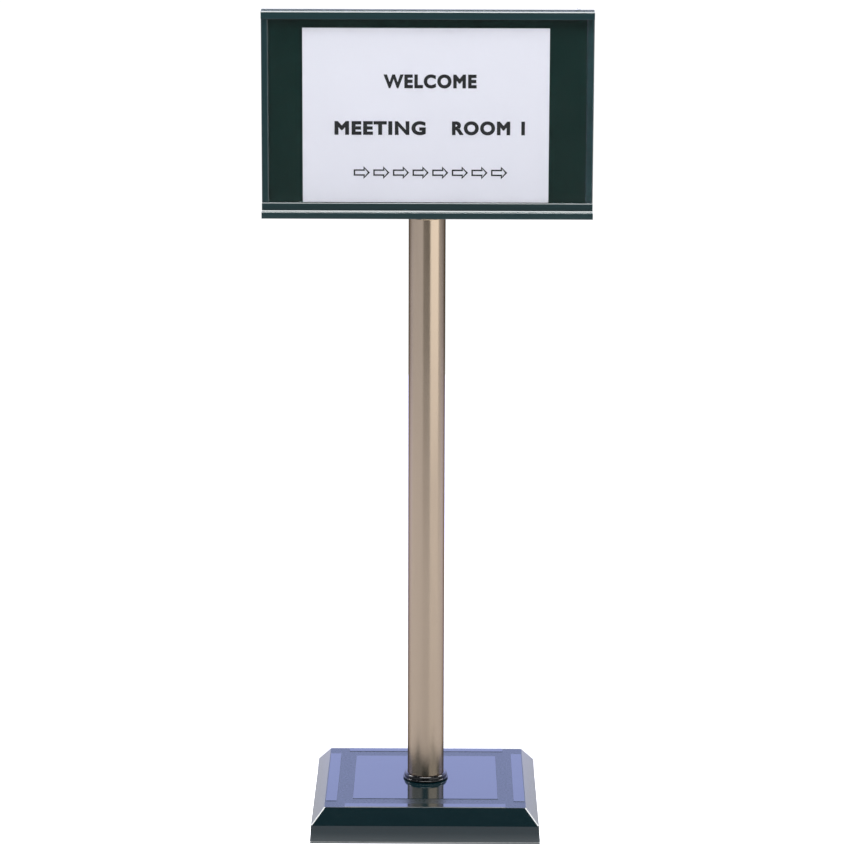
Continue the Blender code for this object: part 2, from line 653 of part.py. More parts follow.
def bottom_rail(pivot):
    cover_groove, front_groove, rear_groove = groove_walls()
    foot = FOOT_RAIL_DEPTH / 2
    lip = BOTTOM_RAIL_HEIGHT
    edge = RAIL_EDGE_RADIUS
    outline = rounded([
        (-foot, 0, edge), (-foot, FOOT_RAIL_HEIGHT, edge), (FRONT, FOOT_RAIL_HEIGHT, COVE_RADIUS),
        (FRONT, lip, edge / 2), (cover_groove[0], lip, 0), (cover_groove[0], GROOVE_FLOOR, 0),
        (cover_groove[1], GROOVE_FLOOR, 0), (cover_groove[1], SHELF, 0),
        (front_groove[0], SHELF, 0), (front_groove[0], GROOVE_FLOOR, 0),
        (front_groove[1], GROOVE_FLOOR, 0), (front_groove[1], lip, 0),
        (rear_groove[0], lip, 0), (rear_groove[0], GROOVE_FLOOR, 0),
        (rear_groove[1], GROOVE_FLOOR, 0), (rear_groove[1], lip, 0),
        (-FRONT, lip, edge / 2), (-FRONT, FOOT_RAIL_HEIGHT, COVE_RADIUS),
        (foot, FOOT_RAIL_HEIGHT, edge), (foot, 0, edge)])
    obj = rail("bottom_rail", outline, pivot)
    end = HEAD_END + GAP
    chamber = box_cutter(
        "nut_plate_chamber", (-end, -CHAMBER_HALF, CHAMBER_FLOOR), (end, CHAMBER_HALF, CHAMBER_CEILING),
        parent=pivot)
    boolean(obj, "DIFFERENCE", chamber)
    holes = cylinder_cutter(
        "rail_screw_holes", FLANGE_SCREW_PLACES, FLANGE_SCREW_RADIUS + GAP,
        -GAP, CHAMBER_FLOOR + GAP, parent=pivot)
    boolean(obj, "DIFFERENCE", holes)


def top_rail(pivot):
    cover_groove, front_groove, rear_groove = groove_walls()
    edge = RAIL_EDGE_RADIUS
    rib = -FRONT - RIB_DEPTH
    outline = rounded([
        (FRONT, TOP_LIP, edge / 2), (FRONT, TOP_FACE, edge), (rib, TOP_FACE, 0),
        (rib, HEAD_HEIGHT, edge / 4), (-FRONT, HEAD_HEIGHT, edge / 2), (-FRONT, TOP_LIP, edge / 2),
        (rear_groove[1], TOP_LIP, 0), (rear_groove[1], GROOVE_CEILING, 0),
        (rear_groove[0], GROOVE_CEILING, 0), (rear_groove[0], TOP_LIP, 0),
        (front_groove[1], TOP_LIP, 0), (front_groove[1], GROOVE_CEILING, 0),
        (front_groove[0], GROOVE_CEILING, 0), (front_groove[0], TOP_LIP, 0),
        (cover_groove[1], TOP_LIP, 0), (cover_groove[1], GROOVE_CEILING, 0),
        (cover_groove[0], GROOVE_CEILING, 0), (cover_groove[0], TOP_LIP, 0)])
    obj = rail("top_rail", outline, pivot)
    hole = cylinder_cutter(
        "lock_screw_hole", [LOCK_SCREW_PLACE], LOCK_SCREW_RADIUS + GAP,
        GROOVE_CEILING - GAP, HEAD_HEIGHT + GAP, parent=pivot)
    boolean(obj, "DIFFERENCE", hole)


def board_lock_screw(pivot):
    """Slotted screw through the rear land of the top rail; its tip stands on the rear board."""
    head_top = GAP + LOCK_HEAD_HEIGHT
    tip = GROOVE_CEILING - HEAD_HEIGHT
    profile = [
        (0, head_top), (LOCK_HEAD_RADIUS * CROWN_SHARE, head_top), (LOCK_HEAD_RADIUS, head_top / 2),
        (LOCK_HEAD_RADIUS, GAP), (LOCK_SCREW_RADIUS, GAP), (LOCK_SCREW_RADIUS, tip), (0, tip)]
    x, y = LOCK_SCREW_PLACE
    screw = turned(
        "board_lock_screw", profile, "zinc_steel", place=(x, y, HEAD_HEIGHT), parent=pivot,
        steps=SMALL_STEPS)
    slot = box_cutter(
        "lock_screw_slot", (x - 2 * LOCK_HEAD_RADIUS, y - GAP, HEAD_HEIGHT + head_top - 2 * GAP),
        (x + 2 * LOCK_HEAD_RADIUS, y + GAP, HEAD_HEIGHT + head_top + GAP), parent=pivot)
    boolean(screw, "DIFFERENCE", slot)


def boards_and_trims(pivot):
    bottom, top = GROOVE_FLOOR + GAP, GROOVE_CEILING - GAP
    box(
        "backing_board", (-BOARD_END, BOARD_FRONT, bottom), (BOARD_END, BOARD_BACK, top),
        "dark_board", pivot)
    box(
        "rear_board", (-BOARD_END, REAR_BOARD_FRONT, bottom), (BOARD_END, REAR_BOARD_BACK, top),
        "dark_board", pivot)
    end = HEAD_END
    low, high = SHELF + GAP, TOP_LIP - GAP
    box(
        "left_side_trim", (-end, COVER_FRONT, low), (SIDE_TRIM_WIDTH - end, REAR_BOARD_BACK, high),
        "dark_pvc", pivot, SIDE_TRIM_RADIUS)
    box(
        "right_side_trim", (end - SIDE_TRIM_WIDTH, BOARD_FRONT, low), (end, REAR_BOARD_BACK, high),
        "dark_pvc", pivot, SIDE_TRIM_RADIUS)


def chamber_plugs(pivot):
    end = HEAD_END
    half = CHAMBER_HALF - GAP
    low, high = CHAMBER_FLOOR + GAP, CHAMBER_CEILING - GAP
    box(
        "chamber_plug_left", (-end, -half, low), (CHAMBER_PLUG_LENGTH - end, half, high),
        "black_abs", pivot)
    box(
        "chamber_plug_right", (end - CHAMBER_PLUG_LENGTH, -half, low), (end, half, high),
        "black_abs", pivot)


def clear_cover(carrier):
    """Clear sheet in the front grooves: stops against the left trim, flush at the right end."""
    box(
        "clear_cover", (-BOARD_END, COVER_FRONT, GROOVE_FLOOR + GAP),
        (HEAD_END, COVER_BACK, GROOVE_CEILING - GAP), "clear_acrylic", carrier, GAP)


def poster_sheet(carrier):
    """A4 sheet standing on the shelf of the bottom rail, between the cover and the board."""
    middle = (COVER_BACK + BOARD_FRONT) / 2
    left = POSTER_OFFSET - POSTER_WIDTH / 2
    bottom = SHELF + GAP
    box(
        "poster_sheet", (left, middle - POSTER_THICKNESS / 2, bottom),
        (left + POSTER_WIDTH, middle + POSTER_THICKNESS / 2, bottom + POSTER_HEIGHT), "paper", carrier)


def empty(name, place, parent=None):
    obj = bpy.data.objects.new(name, None)
    obj.empty_display_size = 0.05
    obj.location = place
    return link(obj, PARTS, parent)


def main():
    base_shell()
    base_ring()
    ballast()
    bottom_cover()
    feet()
    cover_screws()
    base_bolt()
    post()
    swivel_seat()

    pivot = empty("head_pivot", (0, 0, HEAD_BOTTOM))
    head_spigot(pivot)
    flange_screws(pivot)
    nut_plate(pivot)
    bottom_rail(pivot)
    top_rail(pivot)
    board_lock_screw(pivot)
    boards_and_trims(pivot)
    chamber_plugs(pivot)
    clear_cover(empty("cover_carrier", (0, 0, 0), pivot))
    poster_sheet(empty("poster_carrier", (0, 0, 0), pivot))


main()
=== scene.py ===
"""Finished looks for the sign stand: its pieces, their materials and a plain studio around them."""

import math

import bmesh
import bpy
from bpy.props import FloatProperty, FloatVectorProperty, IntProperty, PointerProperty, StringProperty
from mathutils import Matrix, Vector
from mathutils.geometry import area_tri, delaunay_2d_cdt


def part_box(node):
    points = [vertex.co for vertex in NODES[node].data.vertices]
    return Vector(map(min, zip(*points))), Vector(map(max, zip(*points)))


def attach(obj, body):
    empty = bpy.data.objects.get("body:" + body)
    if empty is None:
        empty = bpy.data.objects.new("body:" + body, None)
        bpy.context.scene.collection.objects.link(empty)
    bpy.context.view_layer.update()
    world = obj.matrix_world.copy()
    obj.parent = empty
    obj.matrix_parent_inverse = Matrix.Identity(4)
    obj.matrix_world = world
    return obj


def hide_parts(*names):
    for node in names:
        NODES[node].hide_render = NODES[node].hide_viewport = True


bl_info = {
    "name": "Sign Stand",
    "version": (1, 0, 0),
    "blender": (4, 5, 0),
    "location": "View3D > Sidebar > Sign Stand",
    "description": "Builds the finished pieces and materials of a sign stand around its fixed frame",
    "category": "Object",
}

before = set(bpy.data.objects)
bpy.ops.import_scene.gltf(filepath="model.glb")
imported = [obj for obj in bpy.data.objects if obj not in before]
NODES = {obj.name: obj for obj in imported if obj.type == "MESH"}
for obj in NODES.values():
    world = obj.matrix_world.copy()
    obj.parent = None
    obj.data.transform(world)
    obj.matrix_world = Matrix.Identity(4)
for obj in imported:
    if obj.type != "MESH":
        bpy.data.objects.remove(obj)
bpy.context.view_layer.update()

MM = 0.001

BASE_LOW, BASE_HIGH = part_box("base_shell")
POST_LOW, POST_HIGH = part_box("post_tube")
FOOT_RAIL_LOW, FOOT_RAIL_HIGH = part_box("bottom_rail")
TOP_RAIL_LOW, TOP_RAIL_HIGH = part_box("top_rail")
COVER_LOW, COVER_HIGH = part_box("clear_cover")
POSTER_LOW, POSTER_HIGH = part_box("poster_sheet")
BOARD_LOW, BOARD_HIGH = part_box("backing_board")
REAR_LOW, REAR_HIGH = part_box("rear_board")


# Colours and properties

def to_linear(hex_colour):
    """Linear RGB of an sRGB hex colour such as "#8FB3C9"."""
    channels = [int(hex_colour[i:i + 2], 16) / 255 for i in (1, 3, 5)]
    return tuple(c / 12.92 if c <= 0.04045 else ((c + 0.055) / 1.055) ** 2.4 for c in channels)


def length(name, description, default):
    return FloatProperty(
        name=name, description=description, default=default, min=0.0, precision=5, unit="LENGTH")


def angle(name, description, degrees):
    return FloatProperty(name=name, description=description, default=math.radians(degrees), unit="ROTATION")


def colour(name, description, hex_colour):
    return FloatVectorProperty(
        name=name, description=description, default=to_linear(hex_colour), size=3, min=0.0, max=1.0,
        subtype="COLOR")


class SignStandBaseSizes(bpy.types.PropertyGroup):
    """Sizes of the base moulding and what is under it."""

    bead_height: length("Bead height", "Height of the bead at the foot of the rim", 1.4 * MM)
    bead_proud: length("Bead proud", "How far the bead stands out from the rim", 0.7 * MM)
    band_height: length("Band height", "Upright band of the rim, bead included", 22.2 * MM)
    band_draft: length("Band draft", "How far the band leans in over its height", 0.9 * MM)
    slope_run: length("Slope run", "How far the sloping sides reach in", 16.4 * MM)
    wall: length("Wall", "Wall thickness of the moulding", 3.0 * MM)
    edge_radius: length("Edge radius", "Rounding of the long edges", 1.1 * MM)
    corner_chamfer: length("Corner chamfer", "Chamfer of the upright corners", 1.4 * MM)
    top_chamfer: length("Top chamfer", "Chamfer around the top, along each face", 0.7 * MM)
    edge_field: length("Edge field", "Width of the smooth strips along the edges of the top", 14 * MM)
    field_setback: length("Field setback", "Distance of the strips from the corners of the top", 24 * MM)
    grain_band: length("Grained band", "Width of the grained band around the middle field", 19.5 * MM)
    field_height: length("Field height", "How far the smooth fields stand above the grain", 0.4 * MM)
    field_radius: length("Field edge radius", "Rounding of the edges of the fields", 0.3 * MM)
    ring_bead: length("Ring bead", "Radius of the bead along the foot of the ring", 1.3 * MM)
    tube_edge: length("Tube edge", "Rounding of the post's sawn ends", 0.3 * MM)


class SignStandHeadSizes(bpy.types.PropertyGroup):
    """Sizes of the head's extrusions, sheets and print."""

    channel_depth: length("Channel depth", "Depth of the rails over their lips", 22 * MM)
    groove_depth: length("Groove depth", "Depth of the grooves for the sheets", 5.5 * MM)
    foot_height: length("Foot height", "Height of the wide foot of the bottom rail", 7.8 * MM)
    ramp: length("Ramp", "Sloping ramp between the foot and the lip of the bottom rail", 1.3 * MM)
    brow: length("Brow", "Chamfer along the front of the top rail", 1.3 * MM)
    chamfer: length("Chamfer", "Chamfer along the top of the lips", 0.6 * MM)
    shelf_rise: length("Shelf rise", "Shelf for the poster above the lip", 0.3 * MM)
    rib_rise: length("Rib rise", "Raised land along the back of the top rail", 1.2 * MM)
    rib_depth: length("Rib depth", "Front to back of the raised land", 6.2 * MM)
    edge_radius: length("Edge radius", "Rounding of the rails' outer edges", 0.8 * MM)
    cut_radius: length("Cut radius", "Dressing of the sawn ends", 0.2 * MM)
    flange_hole: length("Flange screw hole", "Radius of the holes for the flange screws", 2.3 * MM)
    lock_hole: length("Lock screw hole", "Radius of the hole for the lock screw", 1.5 * MM)
    trim_edge: length("Trim edge", "Rounding of the side trims' long edges", 1.1 * MM)
    cover_edge: length("Cover edge", "Polished rounding of the clear cover's edges", 0.3 * MM)
    gap: length("Gap", "Clearance of the sheets in their grooves", 0.3 * MM)
    paper_bow: length("Paper bow", "How far the sheet bows in its pocket", 0.35 * MM)
    ink_height: length("Ink height", "Thickness given to the print", 0.05 * MM)


class SignStandPrint(bpy.types.PropertyGroup):
    """Words on the poster sheet, in place around its middle."""

    first_line: StringProperty(name="First line", description="Upper line of the print", default="WELCOME")
    second_left: StringProperty(name="Second line, left", description="Lower line, left", default="MEETING")
    second_right: StringProperty(name="Second line, right", description="Lower line, right", default="ROOM 1")
    cap_height: length("Capital height", "Height of the capital letters", 17 * MM)
    weight: FloatProperty(
        name="Weight", description="How far the letters are thickened, as a share of their type size",
        default=0.052, min=0.0)
    spacing: FloatProperty(
        name="Spacing", description="Distance between letters, as a share of the usual one",
        default=1.17, min=0.0)
    arrows: IntProperty(name="Arrows", description="Number of arrows under the words", default=8, min=0)
    arrow_width: length("Arrow width", "Length of one arrow", 19.6 * MM)
    arrow_height: length("Arrow height", "Height of one arrow over its barbs", 15.5 * MM)
    arrow_pitch: length("Arrow pitch", "Distance from one arrow to the next", 23.7 * MM)
    arrow_stroke: length("Arrow stroke", "Width of an arrow's outline", 1.8 * MM)
    arrows_right: length("Arrows right", "How far the row sits right of the sheet's middle", 5.8 * MM)
    arrows_below: length("Arrows below", "How far the row sits below the sheet's middle", 69 * MM)


class SignStandColours(bpy.types.PropertyGroup):
    """Colours of the stand's materials."""

    moulding: colour("Moulding", "Gloss moulded base", "#071E23")
    ring: colour("Ring", "Soft ring at the foot of the post", "#08090A")
    tube: colour("Tube", "Anodised post", "#B3A28E")
    rails: colour("Rails", "Extruded rails and side trims", "#20373A")
    board: colour("Board", "Boards in the head", "#0E2623")
    acrylic: colour("Acrylic", "Clear cover", "#FEFFFF")
    paper: colour("Paper", "Poster sheet", "#E3E2EB")
    ink: colour("Ink", "Print on the sheet", "#0B0C10")
    zinc: colour("Zinc", "Plated steel", "#B9BCC0")
    iron: colour("Iron", "Painted ballast plate", "#2A2B2B")
    nylon: colour("Nylon", "Plugs and thrust washer", "#D8D6CC")
    rubber: colour("Rubber", "Feet", "#161616")


class SignStandStudio(bpy.types.PropertyGroup):
    """Camera and lights."""

    camera_place: FloatVectorProperty(
        name="Camera place", description="Where the camera stands", default=(0.0178, -3.9609, 1.2885),
        size=3, subtype="TRANSLATION", unit="LENGTH")
    camera_turn: angle("Camera turn", "Turn about the upright", 0.286)
    camera_tilt: angle("Camera tilt", "Tilt down from level", 11.362)
    camera_roll: angle("Camera roll", "Roll about the line of sight", -0.160)
    lens: FloatProperty(name="Lens", description="Focal length in millimetres", default=139.25, unit="CAMERA")
    floor_radius: length("Floor radius", "Radius of the pale floor", 3.0)
    overhead_power: FloatProperty(
        name="Overhead light", description="Power of the overhead soft light", default=60.0, unit="POWER")
    side_power: FloatProperty(
        name="Side lights", description="Power of each high side light", default=30.0, unit="POWER")
    back_power: FloatProperty(
        name="Back light", description="Power of the light above and behind", default=40.0, unit="POWER")
    surround: FloatProperty(
        name="Surround", description="Strength of the studio's walls", default=1.0, min=0.0)


def settings(group):
    return getattr(bpy.context.scene, "sign_stand_" + group)


# Material nodes

def add_node(tree, kind, inputs=None, **properties):
    """Add a shader node, set its properties, and fill or link its inputs."""
    node = tree.nodes.new("ShaderNode" + kind)
    for name, value in properties.items():
        setattr(node, name, value)
    for key, value in (inputs or {}).items():
        if isinstance(value, bpy.types.NodeSocket):
            tree.links.new(value, node.inputs[key])
        else:
            node.inputs[key].default_value = value
    return node


def made_material(name, maker):
    """A material whose surface is the shader that the maker builds in its tree."""
    material = bpy.data.materials.new(name)
    material.use_nodes = True
    tree = material.node_tree
    tree.nodes.clear()
    add_node(tree, "OutputMaterial", {"Surface": maker(tree).outputs[0]})
    return material


def per_metre(millimetres):
    """Pattern scale that gives features of this size, for coordinates in metres."""
    return 1.0 / (millimetres * MM)


def stretched(tree, x=1, y=1, z=1):
    """The piece's own coordinates, scaled along each axis."""
    place = add_node(tree, "TexCoord").outputs["Object"]
    return add_node(tree, "Mapping", {"Vector": place, "Scale": (x, y, z)}).outputs[0]


def spread(tree, source, low, high):
    """Map a pattern's middle range to low..high."""
    return add_node(tree, "MapRange", {
        "Value": source, "From Min": 0.3, "From Max": 0.7, "To Min": low, "To Max": high}).outputs[0]


def tinted(tree, colour_value, source, change):
    """The colour, made lighter and darker by a share of itself along a pattern."""
    darker = [c * (1 - change) for c in colour_value]
    lighter = [min(1.0, c * (1 + change)) for c in colour_value]
    return add_node(tree, "Mix", {0: source, 6: (*darker, 1), 7: (*lighter, 1)}, data_type="RGBA").outputs[2]


def gloss_moulded_abs(tree):
    """Black-green ABS from a polished tool: a deep gloss with slow flow waves and fine rubbed marks."""
    flow = add_node(tree, "TexNoise", {"Vector": stretched(tree), "Scale": per_metre(45), "Detail": 1.0})
    rubbed = add_node(tree, "TexNoise", {
        "Vector": stretched(tree, 1, 3, 3), "Scale": per_metre(9), "Detail": 5.0, "Roughness": 0.65})
    wave = add_node(tree, "Bump", {
        "Height": flow.outputs[0], "Strength": 0.05, "Distance": 1.5 * MM})
    return add_node(tree, "BsdfPrincipled", {
        "Base Color": tinted(tree, settings("colours").moulding, rubbed.outputs[0], 0.12),
        "Roughness": spread(tree, rubbed.outputs[0], 0.05, 0.09),
        "Normal": wave.outputs[0], "IOR": 1.54})


def spark_grained_abs(tree):
    """The same ABS where the tool is spark-eroded: a fine pebble grain that breaks up the reflection.

    The real grain is about 0.5 mm across, and it is drawn at 1.3 mm so that it shows.
    """
    place = stretched(tree)
    pebble = add_node(tree, "TexVoronoi", {"Vector": place, "Scale": per_metre(1.3)}, feature="SMOOTH_F1")
    mottle = add_node(tree, "TexNoise", {"Vector": place, "Scale": per_metre(2.6), "Detail": 3.0})
    pits = add_node(tree, "Bump", {
        "Height": pebble.outputs["Distance"], "Strength": 0.35, "Distance": 0.12 * MM})
    return add_node(tree, "BsdfPrincipled", {
        "Base Color": tinted(tree, settings("colours").moulding, mottle.outputs[0], 0.35),
        "Roughness": spread(tree, mottle.outputs[0], 0.24, 0.36),
        "Normal": pits.outputs[0], "IOR": 1.54})


def anodised_aluminium(tree):
    """Aluminium tube, linished and anodised champagne: satin metal with fine rings and pale smears."""
    rings = add_node(tree, "TexNoise", {
        "Vector": stretched(tree, 0.15, 0.15, 1), "Scale": per_metre(1.6), "Detail": 4.0, "Roughness": 0.7})
    smears = add_node(tree, "TexNoise", {
        "Vector": stretched(tree, 3, 3, 0.25), "Scale": per_metre(30), "Detail": 3.0})
    brushed = add_node(tree, "Bump", {
        "Height": rings.outputs[0], "Strength": 0.04, "Distance": 0.2 * MM})
    around = add_node(tree, "Tangent", direction_type="RADIAL", axis="Z")
    return add_node(tree, "BsdfPrincipled", {
        "Base Color": tinted(tree, settings("colours").tube, smears.outputs[0], 0.05),
        "Metallic": 1.0, "Roughness": spread(tree, smears.outputs[0], 0.20, 0.26),
        "Specular Tint": (0.2, 0.18, 0.16, 1), "Anisotropic": 0.6, "Anisotropic Rotation": 0.25,
        "Tangent": around.outputs[0], "Normal": brushed.outputs[0]})


def extruded_pvc(tree):
    """Dark green-grey PVC from a die: satin, with faint draw lines that run along the rail."""
    lines = add_node(tree, "TexNoise", {
        "Vector": stretched(tree, 0.01, 1, 1), "Scale": per_metre(1.1), "Detail": 3.0, "Roughness": 0.6})
    drawn = add_node(tree, "Bump", {"Height": lines.outputs[0], "Strength": 0.02, "Distance": 0.1 * MM})
    return add_node(tree, "BsdfPrincipled", {
        "Base Color": tinted(tree, settings("colours").rails, lines.outputs[0], 0.18),
        "Roughness": spread(tree, lines.outputs[0], 0.12, 0.2), "Coat Weight": 0.6, "Coat Roughness": 0.06,
        "Coat IOR": 1.6, "Normal": drawn.outputs[0], "IOR": 1.54})


def calendered_board(tree):
    """Foamed PVC board with a calendered skin: even dark green, with a very fine orange peel."""
    place = stretched(tree)
    peel = add_node(tree, "TexNoise", {"Vector": place, "Scale": per_metre(1.4), "Detail": 2.0})
    clouds = add_node(tree, "TexNoise", {"Vector": place, "Scale": per_metre(35), "Detail": 3.0})
    skin = add_node(tree, "Bump", {"Height": peel.outputs[0], "Strength": 0.06, "Distance": 0.05 * MM})
    return add_node(tree, "BsdfPrincipled", {
        "Base Color": tinted(tree, settings("colours").board, clouds.outputs[0], 0.12),
        "Roughness": spread(tree, clouds.outputs[0], 0.12, 0.18),
        "Normal": skin.outputs[0], "IOR": 1.52})


def soft_vinyl(tree):
    """Flexible PVC ring: black and glossy, with a slightly greasy bloom."""
    bloom = add_node(tree, "TexNoise", {"Vector": stretched(tree), "Scale": per_metre(6), "Detail": 3.0})
    return add_node(tree, "BsdfPrincipled", {
        "Base Color": tinted(tree, settings("colours").ring, bloom.outputs[0], 0.2),
        "Roughness": spread(tree, bloom.outputs[0], 0.08, 0.16), "IOR": 1.53})


def clear_acrylic(tree):
    """Extruded acrylic sheet: water-clear with hardly any cast, and it lets the lamps through."""
    sheet = add_node(tree, "BsdfPrincipled", {
        "Base Color": (*settings("colours").acrylic, 1), "Roughness": 0.0, "IOR": 1.49,
        "Transmission Weight": 1.0})
    lamps = add_node(tree, "BsdfTransparent", {"Color": (*settings("colours").acrylic, 1)})
    path = add_node(tree, "LightPath")
    return add_node(tree, "MixShader", {
        0: path.outputs["Is Shadow Ray"], 1: sheet.outputs[0], 2: lamps.outputs[0]})


def uncoated_paper(tree):
    """Office paper: matt white with a faint cool cast, soft clouds and a felt of short fibres."""
    place = stretched(tree)
    fibres = add_node(tree, "TexNoise", {
        "Vector": place, "Scale": per_metre(0.8), "Detail": 4.0, "Distortion": 1.5})
    clouds = add_node(tree, "TexNoise", {"Vector": place, "Scale": per_metre(12), "Detail": 2.0})
    felt = add_node(tree, "Bump", {"Height": fibres.outputs[0], "Strength": 0.08, "Distance": 0.05 * MM})
    return add_node(tree, "BsdfPrincipled", {
        "Base Color": tinted(tree, settings("colours").paper, clouds.outputs[0], 0.012),
        "Roughness": spread(tree, fibres.outputs[0], 0.78, 0.9),
        "Normal": felt.outputs[0], "IOR": 1.5})


def toner(tree):
    """Laser toner fused to paper: near black with a slight sheen and a speckle of paler spots."""
    speckle = add_node(tree, "TexNoise", {
        "Vector": stretched(tree), "Scale": per_metre(0.7), "Detail": 2.0})
    return add_node(tree, "BsdfPrincipled", {
        "Base Color": tinted(tree, settings("colours").ink, speckle.outputs[0], 0.3),
        "Roughness": spread(tree, speckle.outputs[0], 0.4, 0.55), "IOR": 1.5})


def zinc_plated_steel(tree):
    """Bright zinc on turned steel: grey metal with fine turning rings and cloudy patches."""
    clouds = add_node(tree, "TexNoise", {"Vector": stretched(tree), "Scale": per_metre(4), "Detail": 4.0})
    rings = add_node(tree, "TexNoise", {"Vector": stretched(tree, 0.2, 0.2), "Scale": per_metre(0.5)})
    turned_skin = add_node(tree, "Bump", {
        "Height": rings.outputs[0], "Strength": 0.15, "Distance": 0.05 * MM})
    return add_node(tree, "BsdfPrincipled", {
        "Base Color": tinted(tree, settings("colours").zinc, clouds.outputs[0], 0.1),
        "Metallic": 1.0, "Roughness": spread(tree, clouds.outputs[0], 0.22, 0.4),
        "Normal": turned_skin.outputs[0]})


def painted_iron(tree):
    """Sand-cast iron plate under black paint: a coarse matt skin with darker and paler patches."""
    place = stretched(tree)
    sand = add_node(tree, "TexNoise", {
        "Vector": place, "Scale": per_metre(1.5), "Detail": 6.0, "Roughness": 0.7})
    lumps = add_node(tree, "TexNoise", {"Vector": place, "Scale": per_metre(14), "Detail": 3.0})
    cast = add_node(tree, "Bump", {"Height": sand.outputs[0], "Strength": 0.5, "Distance": 0.4 * MM})
    return add_node(tree, "BsdfPrincipled", {
        "Base Color": tinted(tree, settings("colours").iron, lumps.outputs[0], 0.3),
        "Roughness": spread(tree, sand.outputs[0], 0.55, 0.8), "Normal": cast.outputs[0], "IOR": 1.5})


def natural_nylon(tree):
    """Turned nylon: milky off-white and waxy, with fine turning rings."""
    cuts = add_node(tree, "TexNoise", {"Vector": stretched(tree, 0.2, 0.2), "Scale": per_metre(0.6)})
    turned_skin = add_node(tree, "Bump", {
        "Height": cuts.outputs[0], "Strength": 0.2, "Distance": 0.05 * MM})
    return add_node(tree, "BsdfPrincipled", {
        "Base Color": tinted(tree, settings("colours").nylon, cuts.outputs[0], 0.04),
        "Roughness": spread(tree, cuts.outputs[0], 0.38, 0.5),
        "Normal": turned_skin.outputs[0], "IOR": 1.53})


def moulded_rubber(tree):
    """Moulded rubber: matt black with a dusty, slightly uneven skin."""
    dust = add_node(tree, "TexNoise", {"Vector": stretched(tree), "Scale": per_metre(2), "Detail": 5.0})
    skin = add_node(tree, "Bump", {"Height": dust.outputs[0], "Strength": 0.2, "Distance": 0.1 * MM})
    return add_node(tree, "BsdfPrincipled", {
        "Base Color": tinted(tree, settings("colours").rubber, dust.outputs[0], 0.3),
        "Roughness": spread(tree, dust.outputs[0], 0.65, 0.85), "Normal": skin.outputs[0], "IOR": 1.52})


MAKERS = {maker.__name__: maker for maker in (
    gloss_moulded_abs, spark_grained_abs, anodised_aluminium, extruded_pvc, calendered_board, soft_vinyl,
    clear_acrylic, uncoated_paper, toner, zinc_plated_steel, painted_iron, natural_nylon, moulded_rubber)}
MADE = {}


def finished(name):
    """The finished material of this name, made once."""
    if name not in MADE:
        MADE[name] = made_material(name, MAKERS[name])
    return MADE[name]


# Mesh helpers

def clearance():
    """Gap that the frame keeps between neighbouring pieces."""
    return settings("head").gap


def new_piece(name, shape, *materials):
    """An object from a bmesh, with its materials; the bmesh is freed."""
    mesh = bpy.data.meshes.new(name)
    shape.to_mesh(mesh)
    shape.free()
    piece = bpy.data.objects.new(name, mesh)
    bpy.context.scene.collection.objects.link(piece)
    for material in materials:
        mesh.materials.append(finished(material))
    return piece


def smooth(piece, sharp_angle=32):
    """Shade smooth up to an angle in degrees, with the large faces keeping their own flat normals."""
    piece.data.shade_smooth()
    piece.data.set_sharp_from_angle(angle=math.radians(sharp_angle))
    modifier = piece.modifiers.new("flat_faces", "WEIGHTED_NORMAL")
    modifier.weight = 100
    modifier.keep_sharp = True
    apply_modifiers(piece)
    return piece


def cut(piece, cutter, operation="DIFFERENCE"):
    modifier = piece.modifiers.new("cut", "BOOLEAN")
    modifier.operation = operation
    modifier.solver = "EXACT"
    modifier.object = cutter
    apply_modifiers(piece)
    bpy.data.objects.remove(cutter, do_unlink=True)


# Edges that turn by more than this many degrees were sawn or moulded sharp
MOULDED_ANGLE = 50
SAWN_ANGLE = 60


def dress_edges(piece, radius, sharp_angle=MOULDED_ANGLE, segments=2):
    modifier = piece.modifiers.new("dressed_edges", "BEVEL")
    modifier.width = radius
    modifier.segments = segments
    modifier.limit_method = "ANGLE"
    modifier.angle_limit = math.radians(sharp_angle)
    apply_modifiers(piece)


def apply_modifiers(piece):
    depsgraph = bpy.context.evaluated_depsgraph_get()
    mesh = bpy.data.meshes.new_from_object(piece.evaluated_get(depsgraph))
    mesh.name = piece.name
    piece.modifiers.clear()
    piece.data = mesh


def install(piece, body, slot, *nodes):
    """Put a finished piece on its body in place of its CAD nodes."""
    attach(piece, body)
    if nodes:
        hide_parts(*nodes)
    return piece


def dress_node(node, material):
    """Give a carried-over CAD node its finished material."""
    mesh = NODES[node].data
    mesh.materials.clear()
    mesh.materials.append(finished(material))


def rounded(corners, steps=6):
    """Outline from (u, v, radius) corners, with each radius drawn as an arc."""
    outline = []
    count = len(corners)
    for i, (u, v, radius) in enumerate(corners):
        here = Vector((u, v))
        if radius == 0:
            outline.append(here)
            continue
        before = (Vector(corners[i - 1][:2]) - here).normalized()
        after = (Vector(corners[(i + 1) % count][:2]) - here).normalized()
        half = before.angle(after) / 2
        start = here + before * radius / math.tan(half)
        end = here + after * radius / math.tan(half)
        centre = here + (before + after).normalized() * radius / math.sin(half)
        sweep = (start - centre).angle_signed(end - centre)
        for step in range(steps + 1):
            turn = Matrix.Rotation(-sweep * step / steps, 2)
            outline.append(centre + turn @ (start - centre))
    return outline


def prism(outline, low, high, turned=Matrix()):
    """Closed solid: a flat outline drawn out from low to high, then turned by a matrix."""
    shape = bmesh.new()
    floor = [shape.verts.new((u, v, low)) for u, v in outline]
    roof = [shape.verts.new((u, v, high)) for u, v in outline]
    shape.faces.new(floor[::-1])
    shape.faces.new(roof)
    for i in range(len(floor)):
        shape.faces.new((floor[i - 1], floor[i], roof[i], roof[i - 1]))
    bmesh.ops.transform(shape, matrix=turned, verts=shape.verts)
    bmesh.ops.recalc_face_normals(shape, faces=shape.faces)
    return shape


